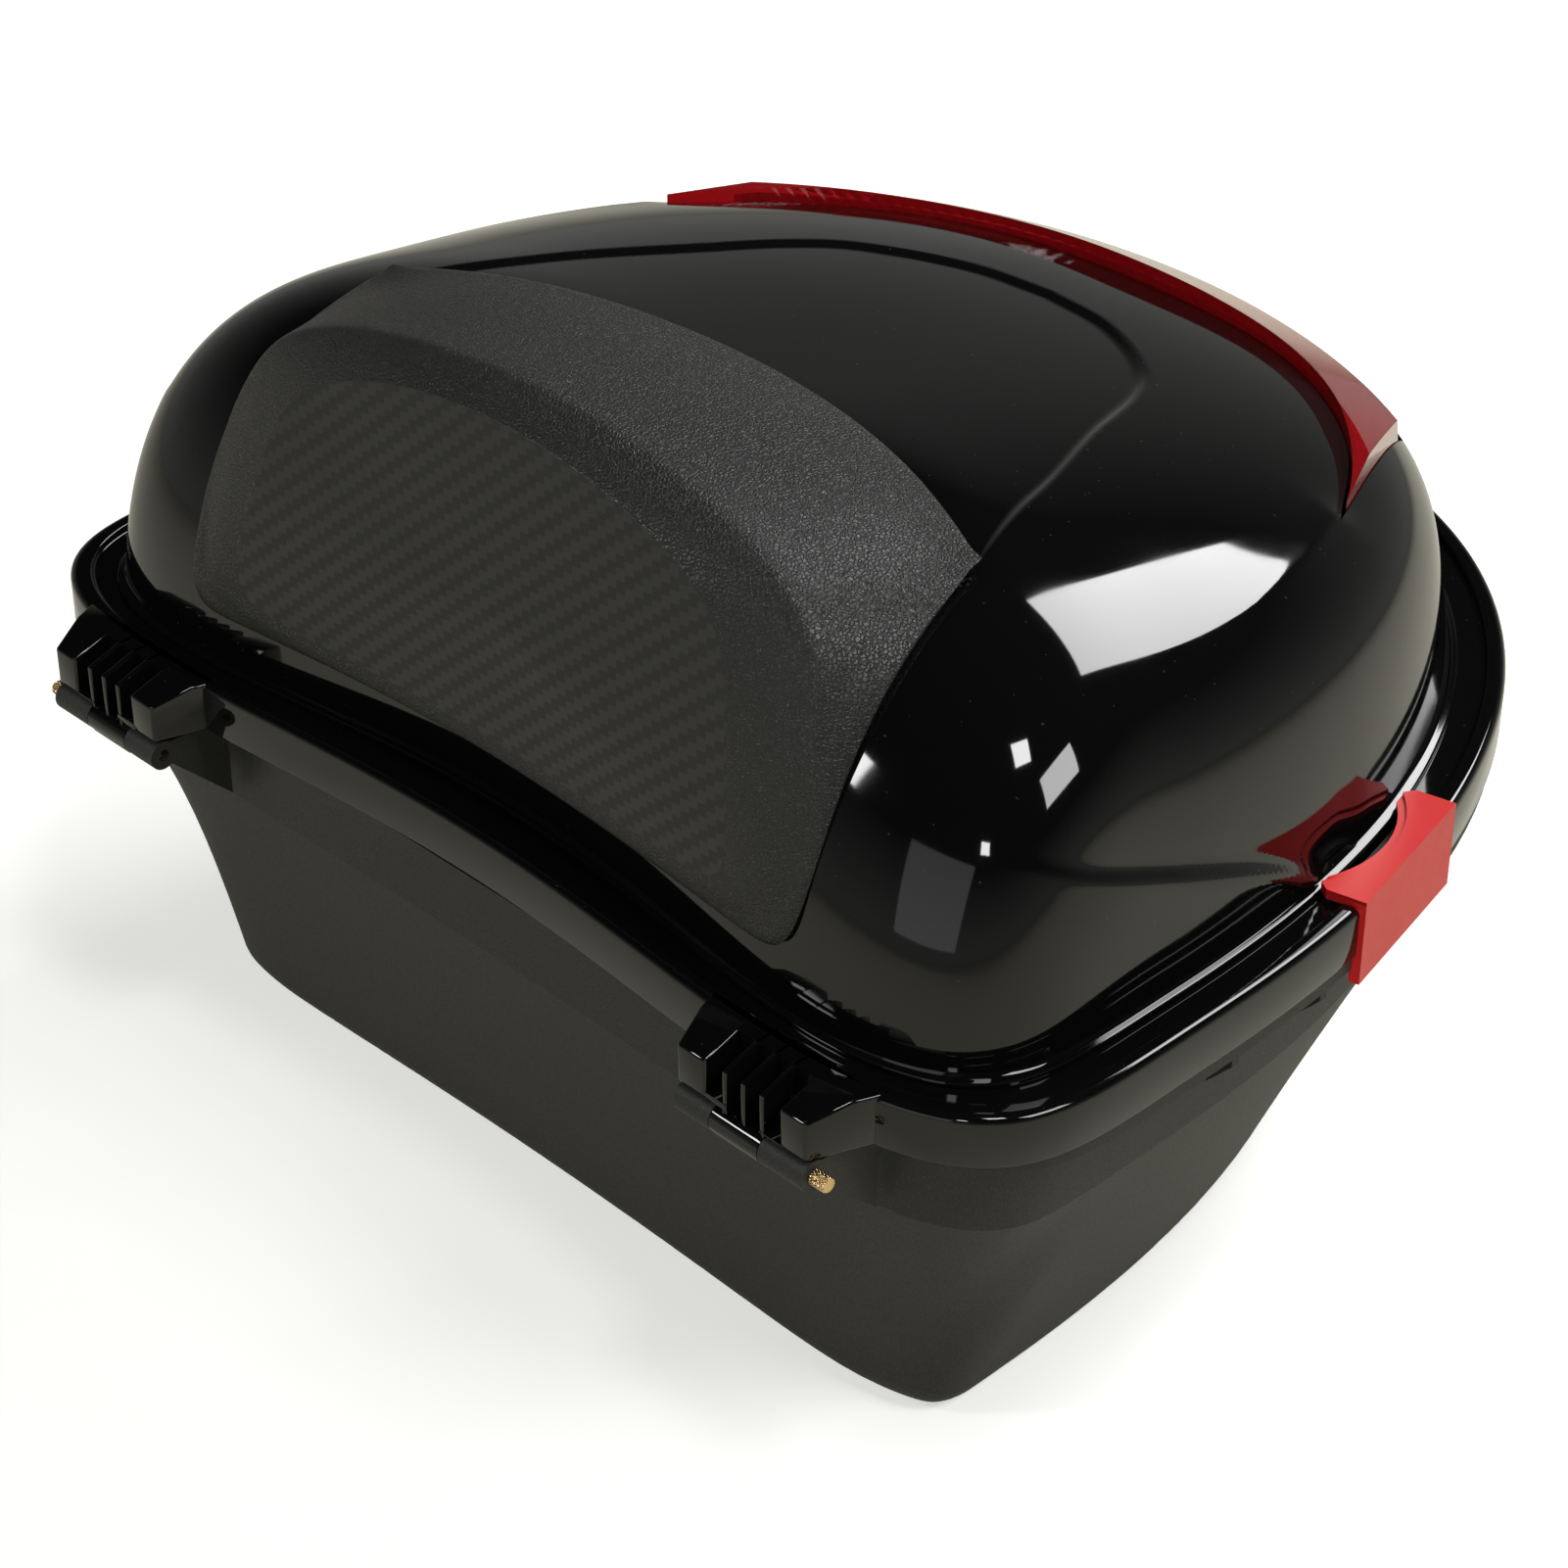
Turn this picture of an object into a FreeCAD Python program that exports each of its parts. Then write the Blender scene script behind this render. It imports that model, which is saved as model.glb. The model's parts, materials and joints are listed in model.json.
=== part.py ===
import FreeCAD, Part
import math
import os
from FreeCAD import Vector

# Motorcycle top case, millimetres. Origin: centre of the underside.
# +Z is up, -Y faces the rider (hinges and backrest), +Y is the rear.

# ---- driving dimensions ----
HALF_WIDTH = 220.0          # rim, at its widest
RIM_FRONT = -168.0
RIM_REAR = 213.0
RIM_WIDEST = -70.0          # where along Y the rim is widest
CORNER_POWER = 5.3          # squareness of the two front corners
TAIL_POWER = 2.26           # roundness of the rear
FRONT_BOW = 6.0             # how far the front edge hollows at the middle

FLOOR_HALF_WIDTH = 167.0
FLOOR_FRONT = -136.5
FLOOR_REAR = 166.0
FLOOR_THICK = 3.5
FLOOR_FILLET = 11.0
FLOOR_CORNER_POWER = 6.0
FLOOR_WIDEST = -98.0
WALL = 3.0
RIDGE_Z = 100.0             # soft ridge where the tapering wall turns upright
RIDGE_INSET = 15.2
RIDGE_FRONT_INSET = 10.0
RIDGE_CORNER_POWER = 6.2
TUB_TOP = 143.0
WALL_INSET = 9.0            # tub wall behind the rim face

FLANGE_BOTTOM = 131.0
FLANGE_TOP = 135.0
FLANGE_INSET = 1.0

RIM_BOTTOM = 136.0
RIM_TOP = 153.0
SKIRT = 3.0
RIM_LAND = 6.0              # width of the raised outer bead of the rim
TROUGH_Z = 151.0            # floor of the shallow trough round the dome
DECK_Z = 149.0              # underside of the lid frame
DECK_INSET = 28.0

SEAL_INSET = 7.5
SEAL_DEPTH = 6.0
SEAL_BOTTOM = 140.0
SEAL_TOP = 148.7

DOME_INSET = 17.0
DOME_FRONT = -155.0
DOME_REAR = 196.0
CROWN_HEIGHT = 263.0        # top of the dome where the backrest ends
CROWN_Y = -43.0
CROWN_SLOPE = 0.167         # how fast the crown falls toward the rear
DOME_LEVELS = (0.0, 0.17, 0.36, 0.55, 0.72, 0.85, 0.94, 0.985)
DOME_FLANGE = 10.0
DOME_FLANGE_TOP = 154.5

HINGE_Y = -182.0
HINGE_Z = 130.0
KNUCKLE_RADIUS = 5.0
HINGE_PIN_RADIUS = 2.0
HINGE_INNER = 120.0
HINGE_OUTER = 171.0
HINGE_BLOCK_FRONT = -185.0
LID_KNUCKLE = (134.5, 153.5)
KNUCKLE_GAP = 0.3
PIN_HEAD_LENGTH = 5.5
PIN_GROOVES = 12
PIN_GROOVE_RADIUS = 0.35
FIT = 0.05                  # radial clearance of every pin and barrel

LATCH_Y = 26.0
LATCH_ANGLE = 12.6          # the rim turns this far from the Y axis at the latch
LATCH_LENGTH = 61.0
LATCH_BOTTOM = 126.1
LATCH_TOP = 155.5
LATCH_REACH = 16.0          # how far the top plate reaches over the rim
LATCH_PROUD = 0.0
LATCH_ROUND = 2.0           # rounding of the long outer edge
SCOOP_RADIUS = 34.0         # thumb scoop in the top plate
SCOOP_DEPTH = 7.0
LATCH_THICK = 3.4
LATCH_TOP_THICK = 3.0
LATCH_PIN_OUT = -3.8
LATCH_PIN_Z = 128.4
LATCH_PIN_RADIUS = 1.2
LATCH_KNUCKLE = 2.3
LATCH_BARREL = 40.0
EAR_THICK = 4.0
EAR_GAP = 0.4               # room for the ears in the back of the latch

LENS_TIP = (152.0, 57.0)
LENS_SHOULDER = (118.0, 102.0)      # where the inner edge turns toward the tip
LENS_INNER_MID = 142.0
LENS_OUTER_MID = 163.0
LENS_CORNER = (116.0, 132.0)
LENS_BOTTOM = 203.0
LENS_BREAK_Z = 222.0        # the outer face ends and the sloping top begins
LENS_TOP = 232.5
LENS_TOP_SLOPE = 0.5
LENS_WALL = 2.5
LENS_DRAFT = 5.0            # how far the outer face leans out toward its foot
LUG_BOTTOM = 198.0
LUG_RADIUS = 6.0
RECESS_GAP = 0.1

PAD_HALF_WIDTH = 138.0
PAD_BOTTOM = 172.0
PAD_CREST = 285.0
PAD_REAR = -43.0
PAD_TIP = (126.0, -74.0)     # the two rear corners
PAD_GAP = 0.3
CARRIER_THICK = 3.0

LOCK_Z = 112.0
LOCK_FACE_Y = 207.0
LOCK_BACK_Y = 186.0
LOCK_RADIUS = 8.0
LOCK_FLANGE = 11.0          # radius of the ring that shows outside
LOCK_FLANGE_THICK = 2.5
NUT_RADIUS = 12.0
NUT_THICK = 3.4
PLUG_RADIUS = 5.5
CAM_Y = 181.0
CAM_THICK = 3.0
CAM_REACH = 26.0
CAM_HALF_HEIGHT = 4.0
CAM_HUB = 7.0
CAM_SQUARE = 3.0            # half the side of the square the cam sits on
CAM_NOSE_WIDTH = 5.0
CAM_NOSE_HEIGHT = 13.0
STRIKE_OUT = 19.0
STRIKE_FOOT = 2.0
STRIKE_SCREW_X = 15.0
STRIKE_BOTTOM = 128.0

MOUNT_SPACING_X = 130.0
MOUNT_SPACING_Y = 110.0
MOUNT_HOLE = 3.25

SCREW_RADIUS = 1.5
SCREW_HOLE = 1.6
SCREW_HEAD = 3.0
SCREW_HEAD_HEIGHT = 2.2

RING_POINTS = 40
BIG = 400.0


# ---- helpers ----
def box(x0, x1, y0, y1, z0, z1):
    return Part.makeBox(x1 - x0, y1 - y0, z1 - z0, Vector(x0, y0, z0))


def rod(radius, start, end):
    axis = end - start
    return Part.makeCylinder(radius, axis.Length, start, axis)


def fuse_all(shapes):
    whole = shapes[0]
    for shape in shapes[1:]:
        whole = whole.fuse(shape)
    merged = whole.removeSplitter()
    return merged if merged.isValid() else whole


def mirror_x(shape):
    return shape.mirror(Vector(0, 0, 0), Vector(1, 0, 0))


def plate(points, direction):
    corners = [Vector(*point) for point in points]
    wire = Part.makePolygon(corners + corners[:1])
    return Part.Face(wire).extrude(direction)


def upright_screw(seat, length):
    """Screw driven up from below; seat is the centre of the face its head bears on."""
    head = Part.makeCylinder(SCREW_HEAD, SCREW_HEAD_HEIGHT, seat - Vector(0, 0, SCREW_HEAD_HEIGHT))
    return head.fuse(Part.makeCylinder(SCREW_RADIUS, length, seat)).removeSplitter()


def save(name, shape):
    shape.exportStep("parts/" + name + ".step")


# ---- outlines seen from above ----
def egg_point(turn, half_width, front, rear, widest, corner_power, bow):
    """One point of the case's outline: square front corners and a round tail."""
    across = math.cos(turn)
    along = math.sin(turn)
    is_front = along < 0
    power = corner_power if is_front else TAIL_POWER
    length = widest - front if is_front else rear - widest
    radius = (abs(across) ** power + abs(along) ** power) ** (-1.0 / power)
    x = half_width * radius * across
    y = widest + length * radius * along
    if is_front:
        y += bow * (1 - (x / half_width) ** 2) * (radius * along) ** 4
    return x, y


def egg_wire(height, **shape):
    """Closed smooth outline; height is a function of y, so it can be tilted."""
    points = []
    for index in range(RING_POINTS):
        x, y = egg_point(2 * math.pi * index / RING_POINTS, **shape)
        points.append(Vector(x, y, height(y)))
    curve = Part.BSplineCurve()
    curve.interpolate(Points=points, PeriodicFlag=True)
    return Part.Wire(curve.toShape())


def rim_shape(inset):
    return dict(
        half_width=HALF_WIDTH - inset,
        front=RIM_FRONT + inset,
        rear=RIM_REAR - inset,
        widest=RIM_WIDEST,
        corner_power=CORNER_POWER,
        bow=FRONT_BOW)


def rim_prism(inset, bottom, top):
    wire = egg_wire(lambda y: bottom, **rim_shape(inset))
    return Part.Face(wire).extrude(Vector(0, 0, top - bottom))


def rim_ring(outer_inset, inner_inset, bottom, top):
    return rim_prism(outer_inset, bottom, top).cut(rim_prism(inner_inset, bottom, top))


def rim_point(turn, inset):
    return egg_point(turn, **rim_shape(inset))


# ---- base tub ----
def tub_loft(inset, floor_z, top_z, fillet):
    floor = dict(
        half_width=FLOOR_HALF_WIDTH - inset,
        front=FLOOR_FRONT + inset,
        rear=FLOOR_REAR - inset,
        widest=FLOOR_WIDEST,
        corner_power=FLOOR_CORNER_POWER,
        bow=FRONT_BOW)
    ridge = rim_shape(RIDGE_INSET + inset)
    ridge.update(front=RIM_FRONT + RIDGE_FRONT_INSET + inset, corner_power=RIDGE_CORNER_POWER)
    wires = [
        egg_wire(lambda y: floor_z, **floor),
        egg_wire(lambda y: RIDGE_Z, **ridge),
        egg_wire(lambda y: top_z, **rim_shape(WALL_INSET + inset)),
    ]
    solid = Part.makeLoft(wires, True, True)
    bottom_edges = [edge for edge in solid.Edges if edge.BoundBox.ZMax < floor_z + 1.0]
    return solid.makeFillet(fillet, bottom_edges)


def hinge_rod(radius, start, end):
    """Cylinder on the hinge axis."""
    return rod(radius, Vector(start, HINGE_Y, HINGE_Z), Vector(end, HINGE_Y, HINGE_Z))


def hinge_gusset(x):
    points = [(x, HINGE_Y + 2, HINGE_Z - 3.5), (x, -157.0, HINGE_Z - 3.5), (x, -157.0, 104.0)]
    return plate(points, Vector(3.0, 0, 0))


def base_hinge():
    """Two knuckles on a bracket with gussets, on the +X side."""
    solids = []
    inner = (HINGE_INNER, LID_KNUCKLE[0] - KNUCKLE_GAP)
    outer = (LID_KNUCKLE[1] + KNUCKLE_GAP, HINGE_OUTER)
    for start, end in (inner, outer):
        solids.append(hinge_rod(KNUCKLE_RADIUS, start, end))
        solids.append(box(start, end, HINGE_Y, -157.0, HINGE_Z - 4.0, HINGE_Z + 4.0))
        solids.append(hinge_gusset(start))
        solids.append(hinge_gusset(end - 3.0))
    return fuse_all(solids)


def hinge_bore():
    return hinge_rod(HINGE_PIN_RADIUS + FIT, HINGE_INNER - 1, HINGE_OUTER + 1)


def at_latch(shape):
    """Place a shape drawn with X outward and Y along the rim at the +X latch."""
    x = rim_x_at(LATCH_Y)
    shape.rotate(Vector(0, 0, 0), Vector(0, 0, 1), LATCH_ANGLE)
    shape.translate(Vector(x, LATCH_Y, 0))
    return shape


def rim_x_at(y):
    reach = (y - RIM_WIDEST) / (RIM_REAR - RIM_WIDEST)
    return HALF_WIDTH * (1 - reach ** TAIL_POWER) ** (1 / TAIL_POWER)


def latch_rod(radius, start, end):
    """Cylinder on the latch's axis, in the latch's own frame."""
    return rod(radius, Vector(LATCH_PIN_OUT, start, LATCH_PIN_Z), Vector(LATCH_PIN_OUT, end, LATCH_PIN_Z))


def ear_spans():
    """Where the two ears stand along the latch's axis."""
    near = LATCH_BARREL / 2 + KNUCKLE_GAP
    far = near + EAR_THICK
    return [(-far, -near), (near, far)]


def latch_ears():
    ears = []
    for low, high in ear_spans():
        ears.append(box(-WALL_INSET - 4.0, LATCH_PIN_OUT, low, high, LATCH_PIN_Z - LATCH_KNUCKLE + 0.5,
                        FLANGE_BOTTOM + 1))
        ears.append(latch_rod(LATCH_KNUCKLE, low, high))
    return at_latch(fuse_all(ears))


def latch_bore(radius):
    half = LATCH_LENGTH / 2
    return at_latch(latch_rod(radius, -half, half))


def flange_rib(y):
    """Small triangular rib under the flange, on the +X side."""
    x = rim_x_at(max(y, RIM_WIDEST + 1)) - WALL_INSET
    top = FLANGE_BOTTOM + 1
    points = [(x - 3, y, top), (x + 6, y, top), (x + 6, y, top - 6), (x - 3, y, top - 16)]
    return plate(points, Vector(0, 3.0, 0))


def mount_points():
    half_x = MOUNT_SPACING_X / 2
    half_y = MOUNT_SPACING_Y / 2
    return [Vector(x, y, 0) for x in (-half_x, half_x) for y in (-half_y, half_y)]


def base_tub():
    outer = tub_loft(0.0, 0.0, TUB_TOP, FLOOR_FILLET)
    cavity = tub_loft(WALL, FLOOR_THICK, TUB_TOP + 0.001, FLOOR_FILLET - WALL)
    flange = rim_ring(FLANGE_INSET, WALL_INSET + 1.5, FLANGE_BOTTOM, FLANGE_TOP)
    lock_boss = box(-17, 17, 190, LOCK_FACE_Y, LOCK_Z - 15, LOCK_Z + 15)
    flange = flange.cut(flange_notch()).cut(mirror_x(flange_notch()))
    right_side = [base_hinge(), latch_ears(), flange_rib(-60.0), flange_rib(-18.0)]
    solids = [outer, flange, lock_boss] + right_side + [mirror_x(shape) for shape in right_side]
    tub = fuse_all(solids).cut(cavity)
    for point in mount_points():
        tub = tub.fuse(Part.makeCylinder(10.0, 6.0, point))
    for point in mount_points():
        tub = tub.cut(Part.makeCylinder(MOUNT_HOLE, 8.0, point - Vector(0, 0, 1)))
    right_bores = [hinge_bore(), latch_bore(LATCH_PIN_RADIUS + FIT)]
    for bore in right_bores + [mirror_x(shape) for shape in right_bores]:
        tub = tub.cut(bore)
    return tub.cut(lock_rod(LOCK_RADIUS + FIT, CAM_Y, LOCK_FACE_Y + 10)).removeSplitter()


def rim_seal():
    body = rim_ring(SEAL_INSET, SEAL_INSET + SEAL_DEPTH, SEAL_BOTTOM, SEAL_TOP)
    slot = rim_ring(WALL_INSET - 0.1, WALL_INSET + WALL + 0.6, SEAL_BOTTOM, TUB_TOP)
    return body.cut(slot)


# ---- pins ----
def knurled_head():
    radius = HINGE_PIN_RADIUS + 0.5
    start = Vector(HINGE_OUTER + KNUCKLE_GAP, HINGE_Y, HINGE_Z)
    head = rod(radius, start, start + Vector(PIN_HEAD_LENGTH, 0, 0))
    for index in range(PIN_GROOVES):
        turn = 2 * math.pi * index / PIN_GROOVES
        groove_start = start + Vector(-1, radius * math.cos(turn), radius * math.sin(turn))
        groove_end = groove_start + Vector(PIN_HEAD_LENGTH + 2, 0, 0)
        head = head.cut(rod(PIN_GROOVE_RADIUS, groove_start, groove_end))
    return head


def hinge_pin():
    shank = hinge_rod(HINGE_PIN_RADIUS, HINGE_INNER + 3, HINGE_OUTER + 1)
    return shank.fuse(knurled_head()).removeSplitter()


def latch_pin():
    half = LATCH_BARREL / 2 + EAR_THICK
    return at_latch(latch_rod(LATCH_PIN_RADIUS, -half, half))


# ---- latch ----
def ear_pocket(low, high):
    """Pocket in the back of the latch that lets it turn round one ear."""
    low -= KNUCKLE_GAP
    high += KNUCKLE_GAP
    reach = LATCH_KNUCKLE + EAR_GAP
    below = box(LATCH_PIN_OUT - 1, LATCH_PIN_OUT + reach, low, high, LATCH_PIN_Z - 2 * reach, LATCH_PIN_Z)
    return latch_rod(reach, low, high).fuse(below)


def latch():
    half = LATCH_LENGTH / 2
    half_barrel = LATCH_BARREL / 2
    front = box(LATCH_PROUD - LATCH_THICK, LATCH_PROUD, -half, half, LATCH_BOTTOM, LATCH_TOP)
    top = box(-LATCH_REACH, LATCH_PROUD, -half, half, LATCH_TOP - LATCH_TOP_THICK, LATCH_TOP)
    foot_bottom = LATCH_PIN_Z - LATCH_KNUCKLE
    foot = box(LATCH_PIN_OUT, LATCH_PROUD, -half_barrel, half_barrel, foot_bottom, LATCH_PIN_Z + 2)
    plates = fuse_all([front, top])
    outer_edges = [edge for edge in plates.Edges if edge.Length > LATCH_LENGTH - 1
                   and edge.BoundBox.XMin > LATCH_PROUD - 0.1 and edge.BoundBox.ZMin > RIM_TOP]
    plates = plates.makeFillet(LATCH_ROUND, outer_edges)
    body = fuse_all([plates, foot, latch_rod(LATCH_KNUCKLE, -half_barrel, half_barrel)])
    scoop_x = SCOOP_DEPTH - LATCH_REACH - SCOOP_RADIUS
    body = body.cut(Part.makeCylinder(SCOOP_RADIUS, 10.0, Vector(scoop_x, 0, RIM_TOP - 2)))
    for low, high in ear_spans():
        body = body.cut(ear_pocket(low, high))
    body = body.cut(latch_rod(LATCH_PIN_RADIUS + FIT, -half, half))
    return at_latch(body)


def flange_notch():
    """Room for the latch's outer plate in the tub's flange."""
    half = LATCH_LENGTH / 2 + 0.6
    return at_latch(box(LATCH_PROUD - LATCH_THICK - 0.8, 6.0, -half, half, FLANGE_BOTTOM - 1, FLANGE_TOP + 1))


def latch_notch():
    """Room for the latch in the lid's rim; the wider rear gap lets the lid swing up past it."""
    half = LATCH_LENGTH / 2
    return at_latch(box(-LATCH_REACH - 0.6, 12.0, -half - 0.6, half + 2.0, RIM_BOTTOM - 2, RIM_TOP + 5))


# ---- lid frame ----
def lid_hinge():
    """Ribbed block with the lid's knuckle, on the +X side."""
    rear = -163.0
    front = HINGE_BLOCK_FRONT
    plan = [(HINGE_INNER - 8, rear, RIM_BOTTOM), (HINGE_INNER, front, RIM_BOTTOM),
            (HINGE_OUTER, front, RIM_BOTTOM), (HINGE_OUTER + 9, rear, RIM_BOTTOM)]
    block = plate(plan, Vector(0, 0, RIM_TOP - RIM_BOTTOM))
    slope = [(0, front, RIM_TOP - 4), (0, front, RIM_TOP), (0, front + 13, RIM_TOP)]
    block = block.cut(plate(slope, Vector(BIG, 0, 0)))
    slot_width = 5.6
    slot_pitch = 7.5
    for index in range(4):
        x = HINGE_INNER + 10.5 + index * slot_pitch
        block = block.cut(box(x, x + slot_width, front - 1, front + 14, RIM_BOTTOM + 3, RIM_TOP + 1))
    knuckle = hinge_rod(KNUCKLE_RADIUS, LID_KNUCKLE[0], LID_KNUCKLE[1])
    web = box(LID_KNUCKLE[0], LID_KNUCKLE[1], front, front + 1.6 * KNUCKLE_RADIUS, HINGE_Z, RIM_BOTTOM + 1)
    return fuse_all([block, knuckle, web]).cut(hinge_bore())


def lid_screw_points():
    turns_deg = (10, 35, 60, 80, -22, -62)
    right = [rim_point(math.radians(turn), 22.0) for turn in turns_deg]
    return [Vector(side * x, y, 0) for x, y in right for side in (-1, 1)]


def lid_frame():
    skirt = rim_ring(0.0, SKIRT, RIM_BOTTOM, RIM_TOP)
    bead = rim_ring(0.0, RIM_LAND, DECK_Z, RIM_TOP)
    deck = rim_ring(0.0, DECK_INSET, DECK_Z, TROUGH_Z)
    body = fuse_all([skirt, bead, deck])
    top_edges = [edge for edge in body.Edges if edge.BoundBox.ZMin > RIM_TOP - 0.01
                 and edge.BoundBox.YMax > RIM_REAR - 1]
    body = body.makeFillet(2.5, top_edges)
    body = fuse_all([body, lid_hinge(), mirror_x(lid_hinge())])
    body = body.cut(latch_notch()).cut(mirror_x(latch_notch()))
    for point in lid_screw_points():
        body = body.cut(Part.makeCylinder(SCREW_HOLE, 10, point + Vector(0, 0, DECK_Z - 4)))
    for x in (-STRIKE_SCREW_X, STRIKE_SCREW_X):
        body = body.cut(Part.makeCylinder(SCREW_HOLE, 10, Vector(x, strike_y(), DECK_Z - 4)))
    return body.removeSplitter()


def lid_screws():
    screws = []
    for point in lid_screw_points():
        screws.append(upright_screw(point + Vector(0, 0, DECK_Z), DOME_FLANGE_TOP - DECK_Z - 0.4))
    return Part.makeCompound(screws)


# ---- dome ----
def crown_z(y):
    return CROWN_HEIGHT - CROWN_SLOPE * (y - CROWN_Y)


def dome_section(level, grow):
    """Outline of the dome a fraction of the way from its foot to its crown."""
    side = (1 - 0.035 * level) * (1 - level ** 4.5) ** 0.34
    tail = (1 - 0.09 * level) * (1 - level ** 8) ** 0.34
    nose = (1 - level ** 2) ** 0.58
    widest = RIM_WIDEST + 62.0 * level ** 3
    foot_half_width = HALF_WIDTH - DOME_INSET
    return dict(
        half_width=foot_half_width * side + grow,
        front=CROWN_Y + (DOME_FRONT - CROWN_Y) * nose - grow,
        rear=widest + (DOME_REAR - RIM_WIDEST) * tail * (1 - 0.2 * level ** 3) + grow,
        widest=widest,
        corner_power=CORNER_POWER - 1.1 * level,
        bow=FRONT_BOW * (1 - level))


def dome_solid(grow):
    wires = []
    for level in DOME_LEVELS:
        height = lambda y, level=level: TROUGH_Z + level * (crown_z(y) + grow - TROUGH_Z)
        wires.append(egg_wire(height, **dome_section(level, grow)))
    return Part.makeLoft(wires, True, False)


# ---- reflector ----
def arc_through(half_chord, y_end, y_mid):
    """Radius and centre of the arc from (-half_chord, y_end) over (0, y_mid)."""
    rise = y_mid - y_end
    radius = (half_chord ** 2 + rise ** 2) / (2 * rise)
    return radius, y_mid - radius


def lens_inside(inset, bottom, height):
    """Everything in front of the crescent's inner edge."""
    tip_x, tip_y = LENS_TIP
    turn_x, turn_y = LENS_SHOULDER
    right = [(tip_x, tip_y), (turn_x, turn_y), (turn_x * 0.55, LENS_INNER_MID - 7.0)]
    points = [Vector(x, y + inset, bottom) for x, y in right] + [Vector(0, LENS_INNER_MID + inset, bottom)]
    points += [Vector(-x, y + inset, bottom) for x, y in reversed(right)]
    edge = Part.BSplineCurve()
    edge.interpolate(points)
    far = [points[-1], Vector(-BIG, -BIG, bottom), Vector(BIG, -BIG, bottom), points[0]]
    return Part.Face(Part.Wire([edge.toShape()] + Part.makePolygon(far).Edges)).extrude(Vector(0, 0, height))


def between_ends(inset, bottom, height):
    """Everything between the two straight slanting ends of the reflector."""
    slope = math.atan2(LENS_TIP[0] - LENS_CORNER[0], LENS_CORNER[1] - LENS_TIP[1])
    lead = 10.0
    start_x = LENS_TIP[0] - inset / math.cos(slope) + lead * math.tan(slope)
    start_y = LENS_TIP[1] - lead
    run = BIG / 2 * math.tan(slope)
    corners = [(-start_x, start_y), (start_x, start_y), (start_x - run, start_y + BIG / 2),
               (run - start_x, start_y + BIG / 2)]
    return plate([(x, y, bottom) for x, y in corners], Vector(0, 0, height))


def crescent(inset, bottom, top):
    """Prism between the reflector's inner curve and outer arc, with straight ends and a sloping top."""
    radius, centre = arc_through(LENS_CORNER[0], LENS_CORNER[1], LENS_OUTER_MID)
    break_z = LENS_BREAK_Z - inset
    draft = LENS_DRAFT * (break_z - bottom) / (LENS_BREAK_Z - LENS_BOTTOM)
    drum = Part.makeCone(radius - inset + draft, radius - inset, break_z - bottom, Vector(0, centre, bottom))
    cap_height = top - break_z
    cap_radius = radius - inset - cap_height / LENS_TOP_SLOPE
    cap = Part.makeCone(radius - inset, cap_radius, cap_height, Vector(0, centre, break_z))
    height = top - bottom
    body = drum.fuse(cap).common(between_ends(inset, bottom, height))
    return body.cut(lens_inside(inset, bottom, height))


def reflector_recess(grow):
    """Stepped recess in the dome that the reflector unit drops into, open to the rear."""
    bottom = LENS_BOTTOM - RECESS_GAP - grow
    height = 80.0
    return between_ends(-grow, bottom, height).cut(lens_inside(-grow, bottom, height))


def reflector_lug_points():
    return [Vector(-88, 133, 0), Vector(0, 151, 0), Vector(88, 133, 0)]


def reflector_lens():
    hollow = crescent(LENS_WALL, LENS_BOTTOM - 1, LENS_TOP - LENS_WALL)
    return crescent(0.3, LENS_BOTTOM, LENS_TOP).cut(hollow)


def reflector_housing():
    outside = crescent(LENS_WALL + 0.4, LENS_BOTTOM, LENS_TOP - LENS_WALL - 0.3)
    pocket = crescent(LENS_WALL + 2.4, LENS_BOTTOM + 3, LENS_TOP)
    tray = outside.cut(pocket)
    for point in reflector_lug_points():
        tray = tray.cut(Part.makeCylinder(SCREW_HOLE, 10, point + Vector(0, 0, LENS_BOTTOM - 5)))
    return tray


def reflector_screws():
    screws = []
    for point in reflector_lug_points():
        screws.append(upright_screw(point + Vector(0, 0, LUG_BOTTOM), LENS_BOTTOM + 2.6 - LUG_BOTTOM))
    return Part.makeCompound(screws)


# ---- backrest ----
def backrest_arch(inset, start_y, end_y):
    """The backrest's outline seen from the front, as a prism along Y."""
    half = PAD_HALF_WIDTH - inset
    low = PAD_BOTTOM + inset
    top = PAD_CREST - inset
    side = [(half - 7, low), (half, low + 16), (half - 4, low + 64)]
    side += [(half - 19, top - 26), (half - 78, top - 8)]
    outline = side + [(0.0, top)] + [(-x, z) for x, z in reversed(side)]
    points = [Vector(x, start_y, z) for x, z in outline]
    arch = Part.BSplineCurve()
    arch.interpolate(points)
    base_line = Part.makeLine(points[-1], points[0])
    face = Part.Face(Part.Wire([arch.toShape(), base_line]))
    return face.extrude(Vector(0, end_y - start_y, 0))


def backrest_screw_points():
    return [Vector(side * 70.0, 0, z) for side in (-1, 1) for z in (196.0, 232.0)]


def backrest_screw_seat(z):
    """Where the flat inner end of a screw boss stands, for a screw at height z."""
    return -118.0 if z < 210 else -92.0


def backrest_carrier():
    zone = backrest_arch(7.0, -200.0, PAD_REAR - 12)
    carrier = dome_solid(PAD_GAP + CARRIER_THICK).cut(dome_solid(PAD_GAP)).cut(dome_solid(0.0)).common(zone)
    carrier = max(carrier.Solids, key=lambda solid: solid.Volume)
    for point in backrest_screw_points():
        carrier = carrier.cut(rod(SCREW_HOLE, point + Vector(0, -200, 0), point + Vector(0, -20, 0)))
    return carrier


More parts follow.
